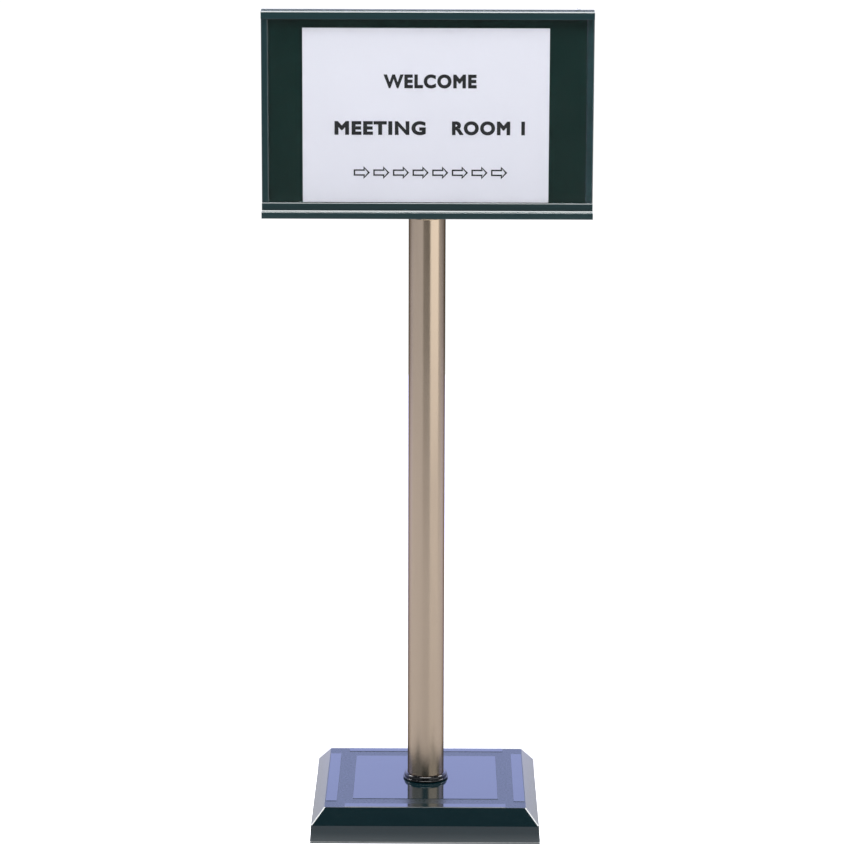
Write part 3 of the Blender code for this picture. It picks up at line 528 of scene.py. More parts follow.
# Turns an outline drawn as (front to back, up) so that its length runs left to right
ALONG_X = Matrix(((0, 0, 1, 0), (1, 0, 0, 0), (0, 1, 0, 0), (0, 0, 0, 1)))
# Turns an outline drawn as (right, up) so that its thickness runs front to back
FACING_FRONT = Matrix(((1, 0, 0, 0), (0, 0, -1, 0), (0, 1, 0, 0), (0, 0, 0, 1)))


def lathe(profile, steps, closed=False):
    """Turn an (r, z) profile about the upright axis; one that isn't closed has both ends on the axis."""
    shape = bmesh.new()
    verts = [shape.verts.new((r, 0, z)) for r, z in profile]
    edges = [shape.edges.new(pair) for pair in zip(verts, verts[1:])]
    if closed:
        edges.append(shape.edges.new((verts[-1], verts[0])))
    bmesh.ops.spin(
        shape, geom=verts + edges, cent=(0, 0, 0), axis=(0, 0, 1), angle=math.tau, steps=steps,
        use_merge=True)
    bmesh.ops.remove_doubles(shape, verts=shape.verts, dist=0.002 * MM)
    bmesh.ops.recalc_face_normals(shape, faces=shape.faces)
    return shape


def upright_cylinder(name, places, radius, low, high, segments=48):
    shape = bmesh.new()
    for x, y in places:
        bmesh.ops.create_cone(
            shape, cap_ends=True, segments=segments, radius1=radius, radius2=radius, depth=high - low,
            matrix=Matrix.Translation((x, y, (low + high) / 2)))
    return new_piece(name, shape)


def block(low, high):
    low, high = Vector(low), Vector(high)
    shape = bmesh.new()
    bmesh.ops.create_cube(shape, size=1.0)
    size = Matrix.Diagonal((*(high - low), 1.0))
    bmesh.ops.transform(shape, matrix=Matrix.Translation((low + high) / 2) @ size, verts=shape.verts)
    return shape


def square_loft(profile, chamfer):
    """Closed solid through level squares with chamfered corners, each (half width, height)."""
    shape = bmesh.new()
    rings = []
    for half, height in profile:
        inner = half - chamfer
        corners = [(half, inner), (inner, half), (-inner, half), (-half, inner),
                   (-half, -inner), (-inner, -half), (inner, -half), (half, -inner)]
        rings.append([shape.verts.new((x, y, height)) for x, y in corners])
    for below, above in zip(rings, rings[1:]):
        for i in range(len(below)):
            shape.faces.new((below[i - 1], below[i], above[i], above[i - 1]))
    shape.faces.new(rings[0])
    shape.faces.new(rings[-1])
    bmesh.ops.recalc_face_normals(shape, faces=shape.faces)
    return shape


# Base

def corner_grain_outline(half, field, setback):
    """Outer outline of the grained ground: a square that runs out to the edge at its four corners."""
    band = half - field
    strip = half - setback
    past = half * 1.1
    corner = [(band, strip), (past, strip), (past, past), (strip, past), (strip, band)]
    return [Matrix.Rotation(quarter * math.pi / 2, 2) @ Vector(point)
            for quarter in range(4) for point in corner]


class SIGNSTAND_OT_base_moulding(bpy.types.Operator):
    """Gloss moulded base with its smooth fields and grained ground"""

    bl_idname = "sign_stand.base_moulding"
    bl_label = "Base moulding"

    def execute(self, context):
        sizes = settings("base")
        half = BASE_HIGH.x
        floor, top = BASE_LOW.z, BASE_HIGH.z
        foot = half - sizes.bead_proud
        band = foot - sizes.band_draft
        top_half = band - sizes.slope_run
        band_top = floor + sizes.band_height
        bead_top = floor + sizes.bead_height
        slope_wall = sizes.wall * math.sqrt(2)
        edge = sizes.edge_radius
        fall = Vector((band - top_half, top - band_top)).normalized() * sizes.top_chamfer
        profile = rounded([
            (0, top - sizes.wall, 0), (top_half - slope_wall + sizes.wall, top - sizes.wall, 0),
            (band - sizes.wall, band_top - sizes.wall / 2, 0), (foot - sizes.wall, floor, 0),
            (half, floor, 0.3 * edge), (half, bead_top, 0.4 * edge),
            (foot, bead_top + sizes.bead_proud, 0.2 * edge), (band, band_top, edge),
            (top_half + fall.x, top - fall.y, 0.2 * edge), (top_half - sizes.top_chamfer, top, 0.2 * edge),
            (0, top, 0)])
        piece = new_piece(
            "base_moulding", square_loft(profile[1:-1], sizes.corner_chamfer),
            "gloss_moulded_abs", "spark_grained_abs")
        ground_level = top - sizes.field_height
        outline = corner_grain_outline(top_half, sizes.edge_field, sizes.field_setback)
        ground = new_piece("ground", prism(outline, ground_level, top + sizes.field_height))
        pad = top_half - sizes.edge_field - sizes.grain_band
        cut(ground, new_piece("middle_field", block((-pad, -pad, floor), (pad, pad, 2 * top))))
        cut(piece, ground)
        hole = POST_HIGH.x + clearance()
        cut(piece, upright_cylinder("post_hole", [(0, 0)], hole, top / 2, 2 * top, 96))
        dress_edges(piece, sizes.field_radius)
        for face in piece.data.polygons:
            level = abs(face.center.z - ground_level) < 0.2 * sizes.field_height
            face.material_index = int(level and face.normal.z > 0.9)
        install(smooth(piece, 20), "stand", "base", "base_shell")
        return {"FINISHED"}


class SIGNSTAND_OT_base_ring(bpy.types.Operator):
    """Soft ring around the foot of the post"""

    bl_idname = "sign_stand.base_ring"
    bl_label = "Base ring"

    def execute(self, context):
        low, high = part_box("base_ring")
        inner = POST_HIGH.x + clearance()
        bead = settings("base").ring_bead
        shoulder = high.x - bead
        waist = low.z + 2 * bead
        swell = waist + (high.z - waist) * 0.35
        profile = [(inner, low.z), (inner, high.z)]
        steps = 14
        for step in range(1, steps + 1):
            around = math.pi / 2 * step / steps
            profile.append((
                inner + (shoulder - inner) * math.sin(around), swell + (high.z - swell) * math.cos(around)))
        for step in range(steps + 1):
            around = math.pi * (0.5 - step / steps)
            profile.append((shoulder + bead * math.cos(around), low.z + bead * (1 + math.sin(around))))
        piece = new_piece("post_ring", lathe(profile, 160, closed=True), "soft_vinyl")
        install(smooth(piece, 60), "stand", "ring", "base_ring")
        return {"FINISHED"}


class SIGNSTAND_OT_underside(bpy.types.Operator):
    """Ballast plate, bottom cover, feet, screws and the base bolt"""

    bl_idname = "sign_stand.underside"
    bl_label = "Underside"

    def execute(self, context):
        dress_node("ballast_plate", "painted_iron")
        dress_node("bottom_cover", "calendered_board")
        dress_node("base_washer", "zinc_plated_steel")
        dress_node("base_bolt", "zinc_plated_steel")
        for corner in ("back_left", "back_right", "front_left", "front_right"):
            self.foot(corner)
        for side in ("back", "front", "left", "right"):
            pan_head_screw("cover_screw_" + side, "stand")
        return {"FINISHED"}

    def foot(self, corner):
        """Rubber foot: a chamfered disc with three anti-slip rings in its sole."""
        low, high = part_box("foot_" + corner)
        middle = (low + high) / 2
        radius = (high.x - low.x) / 2
        height = high.z - low.z
        edge = height / 3
        groove = 0.25 * height
        profile = [(0, high.z), (radius, high.z), (radius, low.z + edge), (radius - edge, low.z)]
        for ring in (0.70, 0.50, 0.30):
            profile += [
                (radius * (ring + 0.06), low.z), (radius * (ring + 0.03), low.z + groove),
                (radius * (ring - 0.03), low.z + groove), (radius * (ring - 0.06), low.z)]
        profile.append((0, low.z))
        piece = new_piece("rubber_foot_" + corner, lathe(profile, 64), "moulded_rubber")
        piece.data.transform(Matrix.Translation((middle.x, middle.y, 0)))
        install(smooth(piece, 25), "stand", "feet", "foot_" + corner)


def pan_head_screw(node, body, head_share=0.5):
    """A screw in place of a CAD one, head down: a domed head with a cross recess, and a ridged shank."""
    low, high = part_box(node)
    middle = (low + high) / 2
    radius = (high.x - low.x) / 2
    shank = radius * head_share
    head = 0.13 * (high.z - low.z)
    pitch = 0.9 * MM
    profile = [(0, low.z)]
    steps = 6
    for step in range(1, steps + 1):
        around = math.pi / 2 * step / steps
        profile.append((radius * math.sin(around) ** 0.7, low.z + head * (1 - math.cos(around))))
    profile += [(radius, low.z + head * 1.15), (shank * 0.8, low.z + head * 1.15)]
    z = low.z + head * 1.15 + pitch
    while z < high.z - 2 * pitch:
        profile += [(shank * 0.8, z - 0.3 * pitch), (shank, z), (shank * 0.8, z + 0.3 * pitch)]
        z += pitch
    profile += [(shank * 0.8, z), (0, high.z)]
    piece = new_piece("screw_" + node, lathe(profile, 32), "zinc_plated_steel")
    recess = 0.55 * radius
    slot = 0.12 * radius
    for wide, deep in ((recess, slot), (slot, recess)):
        cut(piece, new_piece("recess", block((-wide, -deep, low.z - head), (wide, deep, low.z + 0.7 * head))))
    piece.data.transform(Matrix.Translation((middle.x, middle.y, 0)))
    install(smooth(piece, 30), body, "fasteners", node)


# Post and swivel

class SIGNSTAND_OT_post(bpy.types.Operator):
    """Anodised tube with the plugs in its ends"""

    bl_idname = "sign_stand.post"
    bl_label = "Post"

    def execute(self, context):
        outer = POST_HIGH.x
        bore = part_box("upper_plug")[1].x + clearance()
        edge = settings("base").tube_edge
        low, high = POST_LOW.z, POST_HIGH.z
        profile = rounded([
            (bore, low, edge), (bore, high, edge), (outer, high, edge), (outer, low, edge)], 4)
        piece = new_piece("anodised_post", lathe(profile, 192, closed=True), "anodised_aluminium")
        install(smooth(piece, 40), "stand", "post", "post_tube")
        for node in ("lower_plug", "upper_plug", "thrust_washer"):
            dress_node(node, "natural_nylon")
        return {"FINISHED"}


class SIGNSTAND_OT_swivel(bpy.types.Operator):
    """Spigot, its screws and the nut plate in the bottom rail"""

    bl_idname = "sign_stand.swivel"
    bl_label = "Swivel"

    def execute(self, context):
        dress_node("head_spigot", "zinc_plated_steel")
        dress_node("nut_plate", "zinc_plated_steel")
        for side in ("left", "right"):
            pan_head_screw("flange_screw_" + side, "head", head_share=0.57)
        return {"FINISHED"}


# Head

def groove_walls():
    """Front-to-back places of the walls of the cover, board and rear board grooves."""
    gap = clearance()
    return (
        (COVER_LOW.y - gap, COVER_HIGH.y + gap), (BOARD_LOW.y - gap, BOARD_HIGH.y + gap),
        (REAR_LOW.y - gap, REAR_HIGH.y + gap))


class SIGNSTAND_OT_rails(bpy.types.Operator):
    """Extruded top and bottom rails with the plugs of the bottom rail's chamber"""

    bl_idname = "sign_stand.rails"
    bl_label = "Rails"

    def execute(self, context):
        self.bottom_rail()
        self.top_rail()
        for side in ("left", "right"):
            dress_node("chamber_plug_" + side, "extruded_pvc")
        return {"FINISHED"}

    def bottom_rail(self):
        sizes = settings("head")
        cover, board, rear = groove_walls()
        front = -sizes.channel_depth / 2
        edge = sizes.edge_radius
        foot, low = -FOOT_RAIL_LOW.y, FOOT_RAIL_LOW.z
        ledge = low + sizes.foot_height
        shelf = FOOT_RAIL_HIGH.z
        lip = shelf - sizes.shelf_rise
        floor = lip - sizes.groove_depth
        ramp, chamfer = sizes.ramp, sizes.chamfer
        outline = rounded([
            (-foot, low, edge), (-foot, ledge, edge), (front - ramp, ledge, edge / 2),
            (front, ledge + ramp, edge), (front, lip - chamfer, edge / 4), (front + chamfer, lip, edge / 4),
            (cover[0], lip, edge / 4), (cover[0], floor, 0), (cover[1], floor, 0),
            (cover[1], shelf, edge / 4), (board[0], shelf, edge / 4), (board[0], floor, 0),
            (board[1], floor, 0), (board[1], lip, edge / 4), (rear[0], lip, edge / 4), (rear[0], floor, 0),
            (rear[1], floor, 0), (rear[1], lip, edge / 4), (-front, lip, edge / 2),
            (-front, ledge + ramp, edge), (-front + ramp, ledge, edge / 2), (foot, ledge, edge),
            (foot, low, edge)], 6)
        end = FOOT_RAIL_HIGH.x
        piece = new_piece("bottom_extrusion", prism(outline, -end, end, ALONG_X), "extruded_pvc")
        plug_low, plug_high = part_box("chamber_plug_left")
        gap = Vector((0, sizes.gap, sizes.gap))
        chamber_low = Vector((-2 * end, plug_low.y, plug_low.z)) - gap
        chamber_high = Vector((2 * end, plug_high.y, plug_high.z)) + gap
        cut(piece, new_piece("chamber", block(chamber_low, chamber_high)))
        places = [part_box("flange_screw_" + side) for side in ("left", "right")]
        places = [((a.x + b.x) / 2, (a.y + b.y) / 2) for a, b in places]
        hole = sizes.flange_hole
        cut(piece, upright_cylinder("screw_holes", places, hole, low - edge, chamber_low.z + edge))
        dress_edges(piece, sizes.cut_radius, SAWN_ANGLE)
        install(smooth(piece), "head", "rails", "bottom_rail")

    def top_rail(self):
        sizes = settings("head")
        cover, board, rear = groove_walls()
        front = -sizes.channel_depth / 2
        edge = sizes.edge_radius
        lip, high = TOP_RAIL_LOW.z, TOP_RAIL_HIGH.z
        face = high - sizes.rib_rise
        rib = -front - sizes.rib_depth
        ceiling = lip + sizes.groove_depth
        outline = rounded([
            (front, lip, edge / 2), (front, face - sizes.brow, edge / 4),
            (front + sizes.brow, face, edge / 4),
            (rib, face, edge / 2), (rib, high, edge / 2),
            (-front, high, edge / 2), (-front, lip, edge / 2), (rear[1], lip, edge / 4),
            (rear[1], ceiling, 0), (rear[0], ceiling, 0), (rear[0], lip, edge / 4),
            (board[1], lip, edge / 4), (board[1], ceiling, 0), (board[0], ceiling, 0),
            (board[0], lip, edge / 4), (cover[1], lip, edge / 4), (cover[1], ceiling, 0),
            (cover[0], ceiling, 0), (cover[0], lip, edge / 4)], 8)
        end = TOP_RAIL_HIGH.x
        piece = new_piece("top_extrusion", prism(outline, -end, end, ALONG_X), "extruded_pvc")
        low, high_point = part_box("board_lock_screw")
        place = [((low.x + high_point.x) / 2, (low.y + high_point.y) / 2)]
        cut(piece, upright_cylinder("screw_hole", place, sizes.lock_hole, ceiling - edge, high + edge))
        dress_edges(piece, sizes.cut_radius, SAWN_ANGLE)
        install(smooth(piece), "head", "rails", "top_rail")


class SIGNSTAND_OT_lock_screw(bpy.types.Operator):
    """Slotted screw on the land of the top rail"""

    bl_idname = "sign_stand.lock_screw"
    bl_label = "Lock screw"

    def execute(self, context):
        low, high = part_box("board_lock_screw")
        radius = (high.x - low.x) / 2
        seat = TOP_RAIL_HIGH.z + clearance()
        shank = radius * 0.48
        steps = 8
        profile = [(0, low.z), (shank, low.z), (shank, seat), (radius, seat)]
        for step in range(1, steps + 1):
            around = math.pi / 2 * step / steps
            profile.append((radius * math.cos(around), seat + (high.z - seat) * math.sin(around) ** 0.8))
        piece = new_piece("slotted_screw", lathe(profile, 48), "zinc_plated_steel")
        slot = 0.16 * radius
        cut(piece, new_piece("slot", block((-2 * radius, -slot, high.z - 2 * slot), (2 * radius, slot, 2))))
        piece.data.transform(Matrix.Translation(((low.x + high.x) / 2, (low.y + high.y) / 2, 0)))
        install(smooth(piece, 30), "head", "fasteners", "board_lock_screw")
        return {"FINISHED"}


class SIGNSTAND_OT_trims(bpy.types.Operator):
    """Side trims that close the ends of the head"""

    bl_idname = "sign_stand.trims"
    bl_label = "Side trims"

    def execute(self, context):
        for side in ("left", "right"):
            low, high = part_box(side + "_side_trim")
            edge = settings("head").trim_edge
            outline = rounded([
                (low.x, low.y, edge), (high.x, low.y, edge), (high.x, high.y, edge), (low.x, high.y, edge)])
            piece = new_piece(side + "_trim_strip", prism(outline, low.z, high.z), "extruded_pvc")
            dress_edges(piece, settings("head").cut_radius, SAWN_ANGLE)
            install(smooth(piece), "head", "rails", side + "_side_trim")
        return {"FINISHED"}


class SIGNSTAND_OT_boards(bpy.types.Operator):
    """Backing board and rear board"""

    bl_idname = "sign_stand.boards"
    bl_label = "Boards"

    def execute(self, context):
        dress_node("backing_board", "calendered_board")
        dress_node("rear_board", "calendered_board")
        return {"FINISHED"}


class SIGNSTAND_OT_clear_cover(bpy.types.Operator):
    """Clear sheet with polished edges"""

    bl_idname = "sign_stand.clear_cover"
    bl_label = "Clear cover"

    def execute(self, context):
        piece = new_piece("acrylic_cover", block(COVER_LOW, COVER_HIGH), "clear_acrylic")
        dress_edges(piece, settings("head").cover_edge, SAWN_ANGLE, 3)
        install(smooth(piece), "cover", "clear_cover", "clear_cover")
        return {"FINISHED"}


# Poster

def paper_place(x, z):
    """How far forward of flat the sheet lies at a point: a slow bow with a softer wave across it."""
    across = (x - POSTER_LOW.x) / (POSTER_HIGH.x - POSTER_LOW.x)
    up = (z - POSTER_LOW.z) / (POSTER_HIGH.z - POSTER_LOW.z)
    bow = settings("head").paper_bow
    wave = 0.7 * math.sin(math.pi * across) + 0.3 * math.sin(math.tau * across + 2 * up)
    return -bow * wave * (0.4 + 0.6 * up)


def lay_on_paper(piece):
    for vert in piece.data.vertices:
        vert.co.y += paper_place(vert.co.x, vert.co.z)


class SIGNSTAND_OT_poster(bpy.types.Operator):
    """Poster sheet with its print"""

    bl_idname = "sign_stand.poster"
    bl_label = "Poster"

    def execute(self, context):
        self.sheet()
        words = settings("print")
        middle = (POSTER_LOW + POSTER_HIGH) / 2
        cap = words.cap_height
        # Left end, right end and baseline of each text, in millimetres from the middle of the sheet
        lines = (
            ("print_first_line", words.first_line, -51, 61, 32.7),
            ("print_second_left", words.second_left, -110, 0, -23.6),
            ("print_second_right", words.second_right, 31.5, 119.5, -23.6))
        for name, text, left, right, baseline in lines:
            self.line(name, text, middle.x + left * MM, middle.x + right * MM, middle.z + baseline * MM, cap)
        start = middle.x + words.arrows_right - words.arrow_pitch * (words.arrows - 1) / 2
        for number in range(words.arrows):
            self.arrow(number, start + number * words.arrow_pitch, middle.z - words.arrows_below)
        return {"FINISHED"}

    def sheet(self):
        shape = block(POSTER_LOW, POSTER_HIGH)
        long_edges = [e for e in shape.edges if abs(e.verts[0].co.y - e.verts[1].co.y) < 0.1 * MM]
        bmesh.ops.subdivide_edges(shape, edges=long_edges, cuts=23, use_grid_fill=True)
        piece = new_piece("printed_sheet", shape, "uncoated_paper")
        lay_on_paper(piece)
        install(smooth(piece), "poster", "poster", "poster_sheet")

    def put(self, piece):
        """Lay a piece of print, drawn on the plane of the sheet's face, on the bowed paper."""
        lay_on_paper(piece)
        install(piece, "poster", "poster")

    def line(self, name, text, left, right, baseline, cap):
        """Heavy sans capitals, fitted to their place and drawn as thin raised ink."""
        curve = bpy.data.curves.new(name, "FONT")
        curve.body = text
        curve.resolution_u = 6
        curve.space_character = settings("print").spacing
        words = bpy.data.objects.new(name + "_curve", curve)
        bpy.context.scene.collection.objects.link(words)
        bpy.context.view_layer.update()
        mesh = bpy.data.meshes.new_from_object(words.evaluated_get(bpy.context.evaluated_depsgraph_get()))
        bpy.data.objects.remove(words, do_unlink=True)
        letters = bmesh.new()
        letters.from_mesh(mesh)
        bpy.data.meshes.remove(mesh)
        shape = heavier(letters, settings("print").weight)
        xs = [v.co.x for v in shape.verts]
        ys = [v.co.y for v in shape.verts]
        wide, tall = (right - left) / (max(xs) - min(xs)), cap / (max(ys) - min(ys))
        for vert in shape.verts:
            vert.co = (left + (vert.co.x - min(xs)) * wide, baseline + (vert.co.y - min(ys)) * tall, 0)
        self.put(self.raised(name, shape))

    def raised(self, name, shape):
        """Give flat print its thickness and stand it on the sheet's front face."""
        ink = settings("head").ink_height
        grown = bmesh.ops.extrude_face_region(shape, geom=shape.faces[:])["geom"]
        lifted = [part for part in grown if isinstance(part, bmesh.types.BMVert)]
        bmesh.ops.translate(shape, vec=(0, 0, ink), verts=lifted)
        bmesh.ops.transform(shape, matrix=FACING_FRONT, verts=shape.verts)
        bmesh.ops.translate(shape, vec=(0, POSTER_LOW.y - ink / 10, 0), verts=shape.verts)
        bmesh.ops.recalc_face_normals(shape, faces=shape.faces)
        return new_piece(name, shape, "toner")

    def arrow(self, number, x, z):
        """Outline of a broad arrow pointing right."""
        sizes = settings("print")
        wide, tall = sizes.arrow_width / 2, sizes.arrow_height / 2
        shaft = 0.5 * tall
        neck = wide - 0.5 * sizes.arrow_height
        outline = [
            (-wide, -shaft), (neck, -shaft), (neck, -tall), (wide, 0), (neck, tall), (neck, shaft),
            (-wide, shaft)]
        corners = [Vector((x + u, z + v)) for u, v in outline]
        sides = list(zip(corners, corners[1:] + corners[:1]))
        shape = flat_union(border(sides, -sizes.arrow_stroke))
        self.put(self.raised("print_arrow_%d" % (number + 1), shape))


def border(sides, width):
    """Mitred strips along the sides of closed outlines, to their right, or left if the width is negative."""
    outward = {}
    for start, end in sides:
        run = (end - start).normalized()
        for corner in (start, end):
            outward.setdefault(corner.freeze(), []).append(Vector((run.y, -run.x)))

    def mitre(corner):
        middle = sum(outward[corner], Vector((0, 0))).normalized()
        return middle * width / max(0.6, middle.dot(outward[corner][0]))

    return [[start, end, end + mitre(end), start + mitre(start)] for start, end in sides]


def flat_union(polygons):
    """One flat mesh that covers all the polygons, each first turned counter-clockwise."""
    points, faces = [], []
    for polygon in polygons:
        if area_tri(*polygon[:3]) + area_tri(polygon[0], *polygon[-2:]) < 1e-14:
            continue
        turn = sum(before.cross(here) for before, here in zip(polygon[-1:] + polygon, polygon))
        faces.append(list(range(len(points), len(points) + len(polygon))))
        points += polygon if turn > 0 else polygon[::-1]
    points, _, triangles, _, _, sources = delaunay_2d_cdt(points, [], faces, 0, 1e-6)
    shape = bmesh.new()
    verts = [shape.verts.new((*point, 0)) for point in points]
    for triangle, source in zip(triangles, sources):
        if source:
            shape.faces.new([verts[i] for i in triangle])
    loose = [vert for vert in shape.verts if not vert.link_faces]
    bmesh.ops.delete(shape, geom=loose, context="VERTS")
    bmesh.ops.dissolve_limit(shape, angle_limit=0.01, verts=shape.verts, edges=shape.edges)
    return shape


def heavier(letters, growth):
    """Flat letters with a border of this width grown around every outline; the given mesh is freed."""
    bmesh.ops.remove_doubles(letters, verts=letters.verts, dist=1e-5)
    place = {vert: vert.co.xy.freeze() for vert in letters.verts}
    sides = []
    for edge in letters.edges:
        if edge.is_boundary:
            loop = edge.link_loops[0]
            sides.append((place[loop.vert], place[loop.link_loop_next.vert]))
    polygons = [[place[vert] for vert in face.verts] for face in letters.faces]
    letters.free()
    return flat_union(polygons + border(sides, growth))


# Stage

# Each soft light: where it hangs, what it faces, its width and depth, and whose power it takes
LIGHTS = {
    "overhead": ((0, -0.62, 2.75), (0, -0.62, 0), (1.8, 1.15), "overhead_power"),
    "side_left": ((-2.0, 0.98, 2.1), (0, 0, 0.1), (0.8, 0.8), "side_power"),
    "side_right": ((2.0, 0.98, 2.1), (0, 0, 0.1), (0.8, 0.8), "side_power"),
    "back": ((0, 1.1, 2.75), (0, 1.1, 0), (1.8, 0.7), "back_power")}

# Glow of the floor: near the stand and at its rim, a painted bounce of light beside the base, and the extra
# that only the camera sees
GLOW_NEAR, GLOW_FAR = 0.4, 0.66
GLOW_NEAR_END, GLOW_FAR_START = 0.5, 2.2
# Painted bounce: extra glow of the floor beside the base, and how far out it fades
PAINTED_BOUNCE, PAINTED_BOUNCE_REACH = 1.1, 0.06
CAMERA_GLOW = 0.3
# The floor's tint in front of the stand and behind it
TINT_FRONT, TINT_BACK = (1.0, 1.0, 1.03, 1), (1.02, 1.03, 1.42, 1)
TINT_START, TINT_END = 0.15, 0.7

# Radiance that a colour ramp's white stands for
BRIGHTEST = 3.0
# What the camera sees past the floor
BACKDROP = 1.05
# Radiance straight in front, just under the horizon, where the panel's gloss looks
DARK_FRONT = (0.05, 0.05, 0.05)
# Radiance overhead, apart from the lights
CEILING = (0.05, 0.05, 0.05)
# Radiance around the horizon, by degrees to the right of the camera
HORIZON = (
    (-180, (0.5, 0.52, 0.76)), (-150, (0.4, 0.4, 0.45)),
    (-134, (0.5, 0.5, 0.55)), (-100, (0.72, 0.74, 0.82)), (-28, (0.76, 0.78, 0.86)),
    (-18, (0.3, 0.3, 0.28)), (10, (0.3, 0.3, 0.28)), (18, (0.45, 0.45, 0.42)), (22, (1.9, 1.9, 1.9)),
    (76, (1.9, 1.9, 1.9)), (80, (0.6, 0.6, 0.62)), (110, (0.42, 0.42, 0.44)), (148, (0.25, 0.25, 0.27)),
    (180, (0.5, 0.52, 0.76)))
# Radiance of the wall behind, by height of the direction
BACK_WALL = (
    (0.0, (0.3, 0.33, 0.54)), (0.11, (0.4, 0.45, 0.8)), (0.17, (1.1, 1.2, 1.9)), (0.22, (1.2, 1.3, 2.3)),
    (0.32, (1.2, 1.33, 2.45)), (0.45, (0.9, 1.0, 1.7)), (0.62, (0.35, 0.35, 0.45)), (1.0, (0.2, 0.2, 0.22)))
# Where the ceiling, the dim front and the wall come in: along which axis, from where to where, how far
CEILING_BLENDS = (("height", 0.2, 0.5, 0.85),)
FRONT_BLENDS = (("toward", 0.9, 0.95, 1.0), ("height", -0.15, -0.125, 1.0))
WALL_BLENDS = (("back", -0.05, 0.35, 1.0), ("height", -0.01, 0.06, 1.0))


def scaled(radiance):
    """A radiance as the colour that stands for it once BRIGHTEST is white."""
    return (*[value / BRIGHTEST for value in radiance], 1)


def set_stops(band, stops):
    """Give a colour ramp its (position, radiance) stops."""
    band.interpolation = "EASE"
    band.elements[0].position, band.elements[1].position = stops[0][0], stops[-1][0]
    for position, _ in stops[1:-1]:
        band.elements.new(position)
    for element, (_, radiance) in zip(band.elements, stops):
        element.color = scaled(radiance)


def white_sweep(tree):
    """Painted sweep: matt pale grey with a glow that hides where it ends, and a painted bounce: brighter glow
    just around the base in place of bounced light.
    """
    place = add_node(tree, "TexCoord").outputs["Object"]
    right, back, _ = add_node(tree, "SeparateXYZ", {0: place}).outputs
    reach = add_node(tree, "VectorMath", {0: place}, operation="LENGTH")
    glow = add_node(tree, "MapRange", {
        "Value": reach.outputs["Value"], "From Min": GLOW_NEAR_END, "From Max": GLOW_FAR_START,
        "To Min": GLOW_NEAR, "To Max": GLOW_FAR})
    across = add_node(tree, "Math", {0: right}, operation="ABSOLUTE")
    along = add_node(tree, "Math", {0: back}, operation="ABSOLUTE")
    square = add_node(tree, "Math", {0: across.outputs[0], 1: along.outputs[0]}, operation="MAXIMUM")
    # Painted light: the floor glows brighter in a band around the base, a painted bounce that lifts its shade
    # there
    painted_bounce = add_node(tree, "MapRange", {
        "Value": square.outputs[0], "From Min": BASE_HIGH.x, "From Max": BASE_HIGH.x + PAINTED_BOUNCE_REACH,
        "To Min": PAINTED_BOUNCE, "To Max": 0.0})
    lit = add_node(tree, "Math", {0: glow.outputs[0], 1: painted_bounce.outputs[0]}, operation="ADD")
    seen = add_node(tree, "LightPath").outputs["Is Camera Ray"]
    strength = add_node(tree, "Math", {0: seen, 1: CAMERA_GLOW, 2: lit.outputs[0]}, operation="MULTIPLY_ADD")
    behind = add_node(tree, "MapRange", {
        "Value": back, "From Min": TINT_START, "From Max": TINT_END}, interpolation_type="SMOOTHSTEP")
    tint = add_node(tree, "Mix", {0: behind.outputs[0], 6: TINT_FRONT, 7: TINT_BACK}, data_type="RGBA")
    return add_node(tree, "BsdfPrincipled", {
        "Base Color": (0.30, 0.30, 0.31, 1), "Roughness": 0.8,
        "Emission Color": tint.outputs[2], "Emission Strength": strength.outputs[0]})


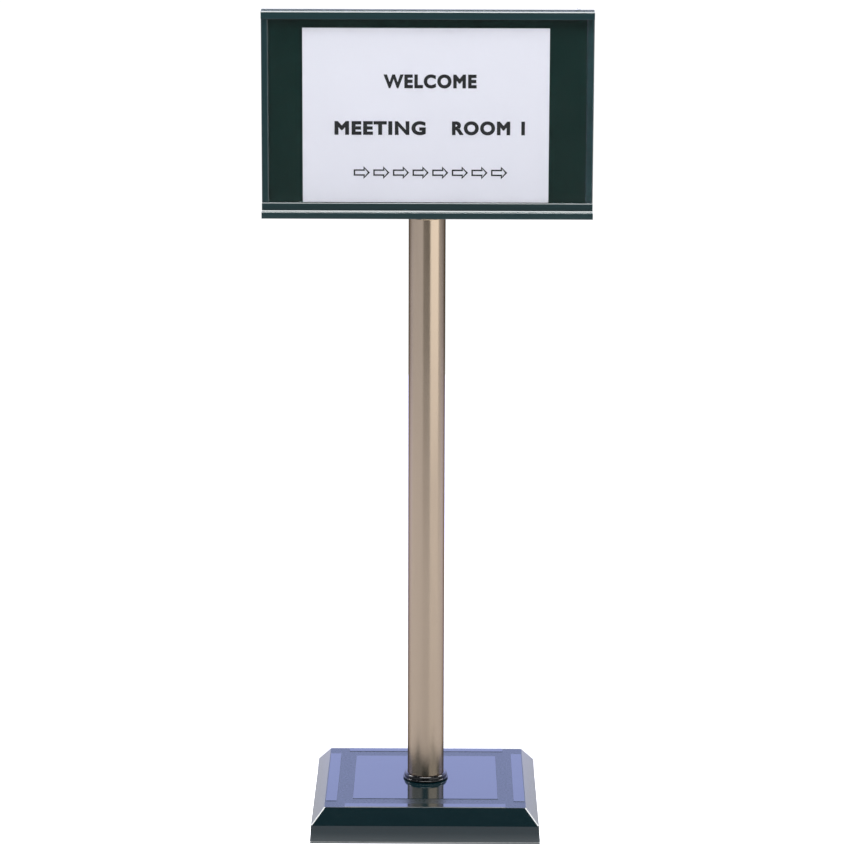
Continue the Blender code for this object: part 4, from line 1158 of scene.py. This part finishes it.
class SIGNSTAND_OT_stage(bpy.types.Operator):
    """Pale floor, studio surround, lights and camera"""

    bl_idname = "sign_stand.stage"
    bl_label = "Stage"

    def execute(self, context):
        studio = settings("studio")
        self.camera(studio)
        self.floor(studio)
        self.surround(studio)
        for name, (place, target, size, power) in LIGHTS.items():
            self.soft_light(name, place, target, size, getattr(studio, power))
        context.scene.view_settings.view_transform = "Standard"
        context.scene.view_settings.look = "None"
        return {"FINISHED"}

    def camera(self, studio):
        data = bpy.data.cameras.new("camera")
        data.lens = studio.lens
        data.clip_end = 50
        camera = bpy.data.objects.new("camera", data)
        turned = (
            Matrix.Rotation(studio.camera_turn, 4, "Z") @ Matrix.Rotation(-studio.camera_tilt, 4, "X")
            @ Matrix.Rotation(studio.camera_roll, 4, "Y") @ Matrix.Rotation(math.pi / 2, 4, "X"))
        camera.matrix_world = Matrix.Translation(studio.camera_place) @ turned
        bpy.context.scene.collection.objects.link(camera)
        bpy.context.scene.camera = camera

    def floor(self, studio):
        shape = bmesh.new()
        bmesh.ops.create_circle(shape, cap_ends=True, segments=128, radius=studio.floor_radius)
        floor = new_piece("floor", shape)
        floor.data.materials.append(made_material("white_sweep", white_sweep))

    def soft_light(self, name, place, target, size, power):
        data = bpy.data.lights.new(name, "AREA")
        data.shape = "RECTANGLE"
        data.size, data.size_y = size
        data.energy = power
        light = bpy.data.objects.new(name, data)
        aim = Vector(target) - Vector(place)
        light.matrix_world = Matrix.Translation(place) @ aim.to_track_quat("-Z", "Y").to_matrix().to_4x4()
        bpy.context.scene.collection.objects.link(light)
        light.visible_camera = False

    def surround(self, studio):
        """What the gloss mirrors: a lit lavender wall behind, a soft box at the right, a dim front."""
        world = bpy.data.worlds.new("studio")
        bpy.context.scene.world = world
        world.use_nodes = True
        tree = world.node_tree
        tree.nodes.clear()
        direction = add_node(tree, "TexCoord").outputs["Generated"]
        right, back, height = add_node(tree, "SeparateXYZ", {0: direction}).outputs
        toward = add_node(tree, "Math", {0: back, 1: -1.0}, operation="MULTIPLY").outputs[0]
        around = add_node(tree, "Math", {0: right, 1: toward}, operation="ARCTAN2")
        turn = add_node(tree, "MapRange", {
            "Value": around.outputs[0], "From Min": -math.pi, "From Max": math.pi})
        horizon = add_node(tree, "ValToRGB", {0: turn.outputs[0]})
        set_stops(horizon.color_ramp, [(0.5 + degrees / 360, radiance) for degrees, radiance in HORIZON])
        wall = add_node(tree, "ValToRGB", {0: height})
        set_stops(wall.color_ramp, BACK_WALL)
        level = horizon.outputs[0]
        along = {"back": back, "toward": toward, "height": height}
        layers = (
            (scaled(CEILING), CEILING_BLENDS), (scaled(DARK_FRONT), FRONT_BLENDS),
            (wall.outputs[0], WALL_BLENDS))
        for layer, blends in layers:
            share = 1.0
            for axis, low, high, most in blends:
                part = add_node(tree, "MapRange", {
                    "Value": along[axis], "From Min": low, "From Max": high, "To Max": most},
                    interpolation_type="SMOOTHSTEP").outputs[0]
                share = add_node(tree, "Math", {0: share, 1: part}, operation="MULTIPLY").outputs[0]
            level = add_node(tree, "Mix", {0: share, 6: level, 7: layer}, data_type="RGBA").outputs[2]
        mirrored = add_node(tree, "Background", {0: level, 1: BRIGHTEST * studio.surround})
        backdrop = add_node(tree, "Background", {0: (1, 1, 1, 1), 1: BACKDROP})
        path = add_node(tree, "LightPath")
        mix = add_node(tree, "MixShader", {
            0: path.outputs["Is Camera Ray"], 1: mirrored.outputs[0], 2: backdrop.outputs[0]})
        add_node(tree, "OutputWorld", {0: mix.outputs[0]})


# Add-on parts

GROUPS = {
    "base": SignStandBaseSizes, "head": SignStandHeadSizes, "print": SignStandPrint,
    "colours": SignStandColours, "studio": SignStandStudio}
OPERATORS = (
    SIGNSTAND_OT_stage, SIGNSTAND_OT_base_moulding, SIGNSTAND_OT_base_ring, SIGNSTAND_OT_underside,
    SIGNSTAND_OT_post, SIGNSTAND_OT_swivel, SIGNSTAND_OT_rails, SIGNSTAND_OT_lock_screw,
    SIGNSTAND_OT_trims, SIGNSTAND_OT_boards, SIGNSTAND_OT_clear_cover, SIGNSTAND_OT_poster)


class SIGNSTAND_PT_panel(bpy.types.Panel):
    """Lists the sign stand's sizes, colours and building steps"""

    bl_idname = "SIGNSTAND_PT_panel"
    bl_label = "Sign Stand"
    bl_space_type = "VIEW_3D"
    bl_region_type = "UI"
    bl_category = "Sign Stand"

    def draw(self, context):
        for group, kind in GROUPS.items():
            box = self.layout.box()
            box.label(text=group.capitalize())
            for name in kind.__annotations__:
                box.prop(settings(group), name)
        for operator in OPERATORS:
            self.layout.operator(operator.bl_idname)


CLASSES = (*GROUPS.values(), *OPERATORS, SIGNSTAND_PT_panel)


def register():
    for kind in CLASSES:
        bpy.utils.register_class(kind)
    for group, kind in GROUPS.items():
        setattr(bpy.types.Scene, "sign_stand_" + group, PointerProperty(type=kind))


def unregister():
    for group in GROUPS:
        delattr(bpy.types.Scene, "sign_stand_" + group)
    for kind in reversed(CLASSES):
        bpy.utils.unregister_class(kind)


def main():
    register()
    for operator in OPERATORS:
        getattr(bpy.ops.sign_stand, operator.bl_idname.split(".")[1])()


if __name__ == "__main__":
    main()
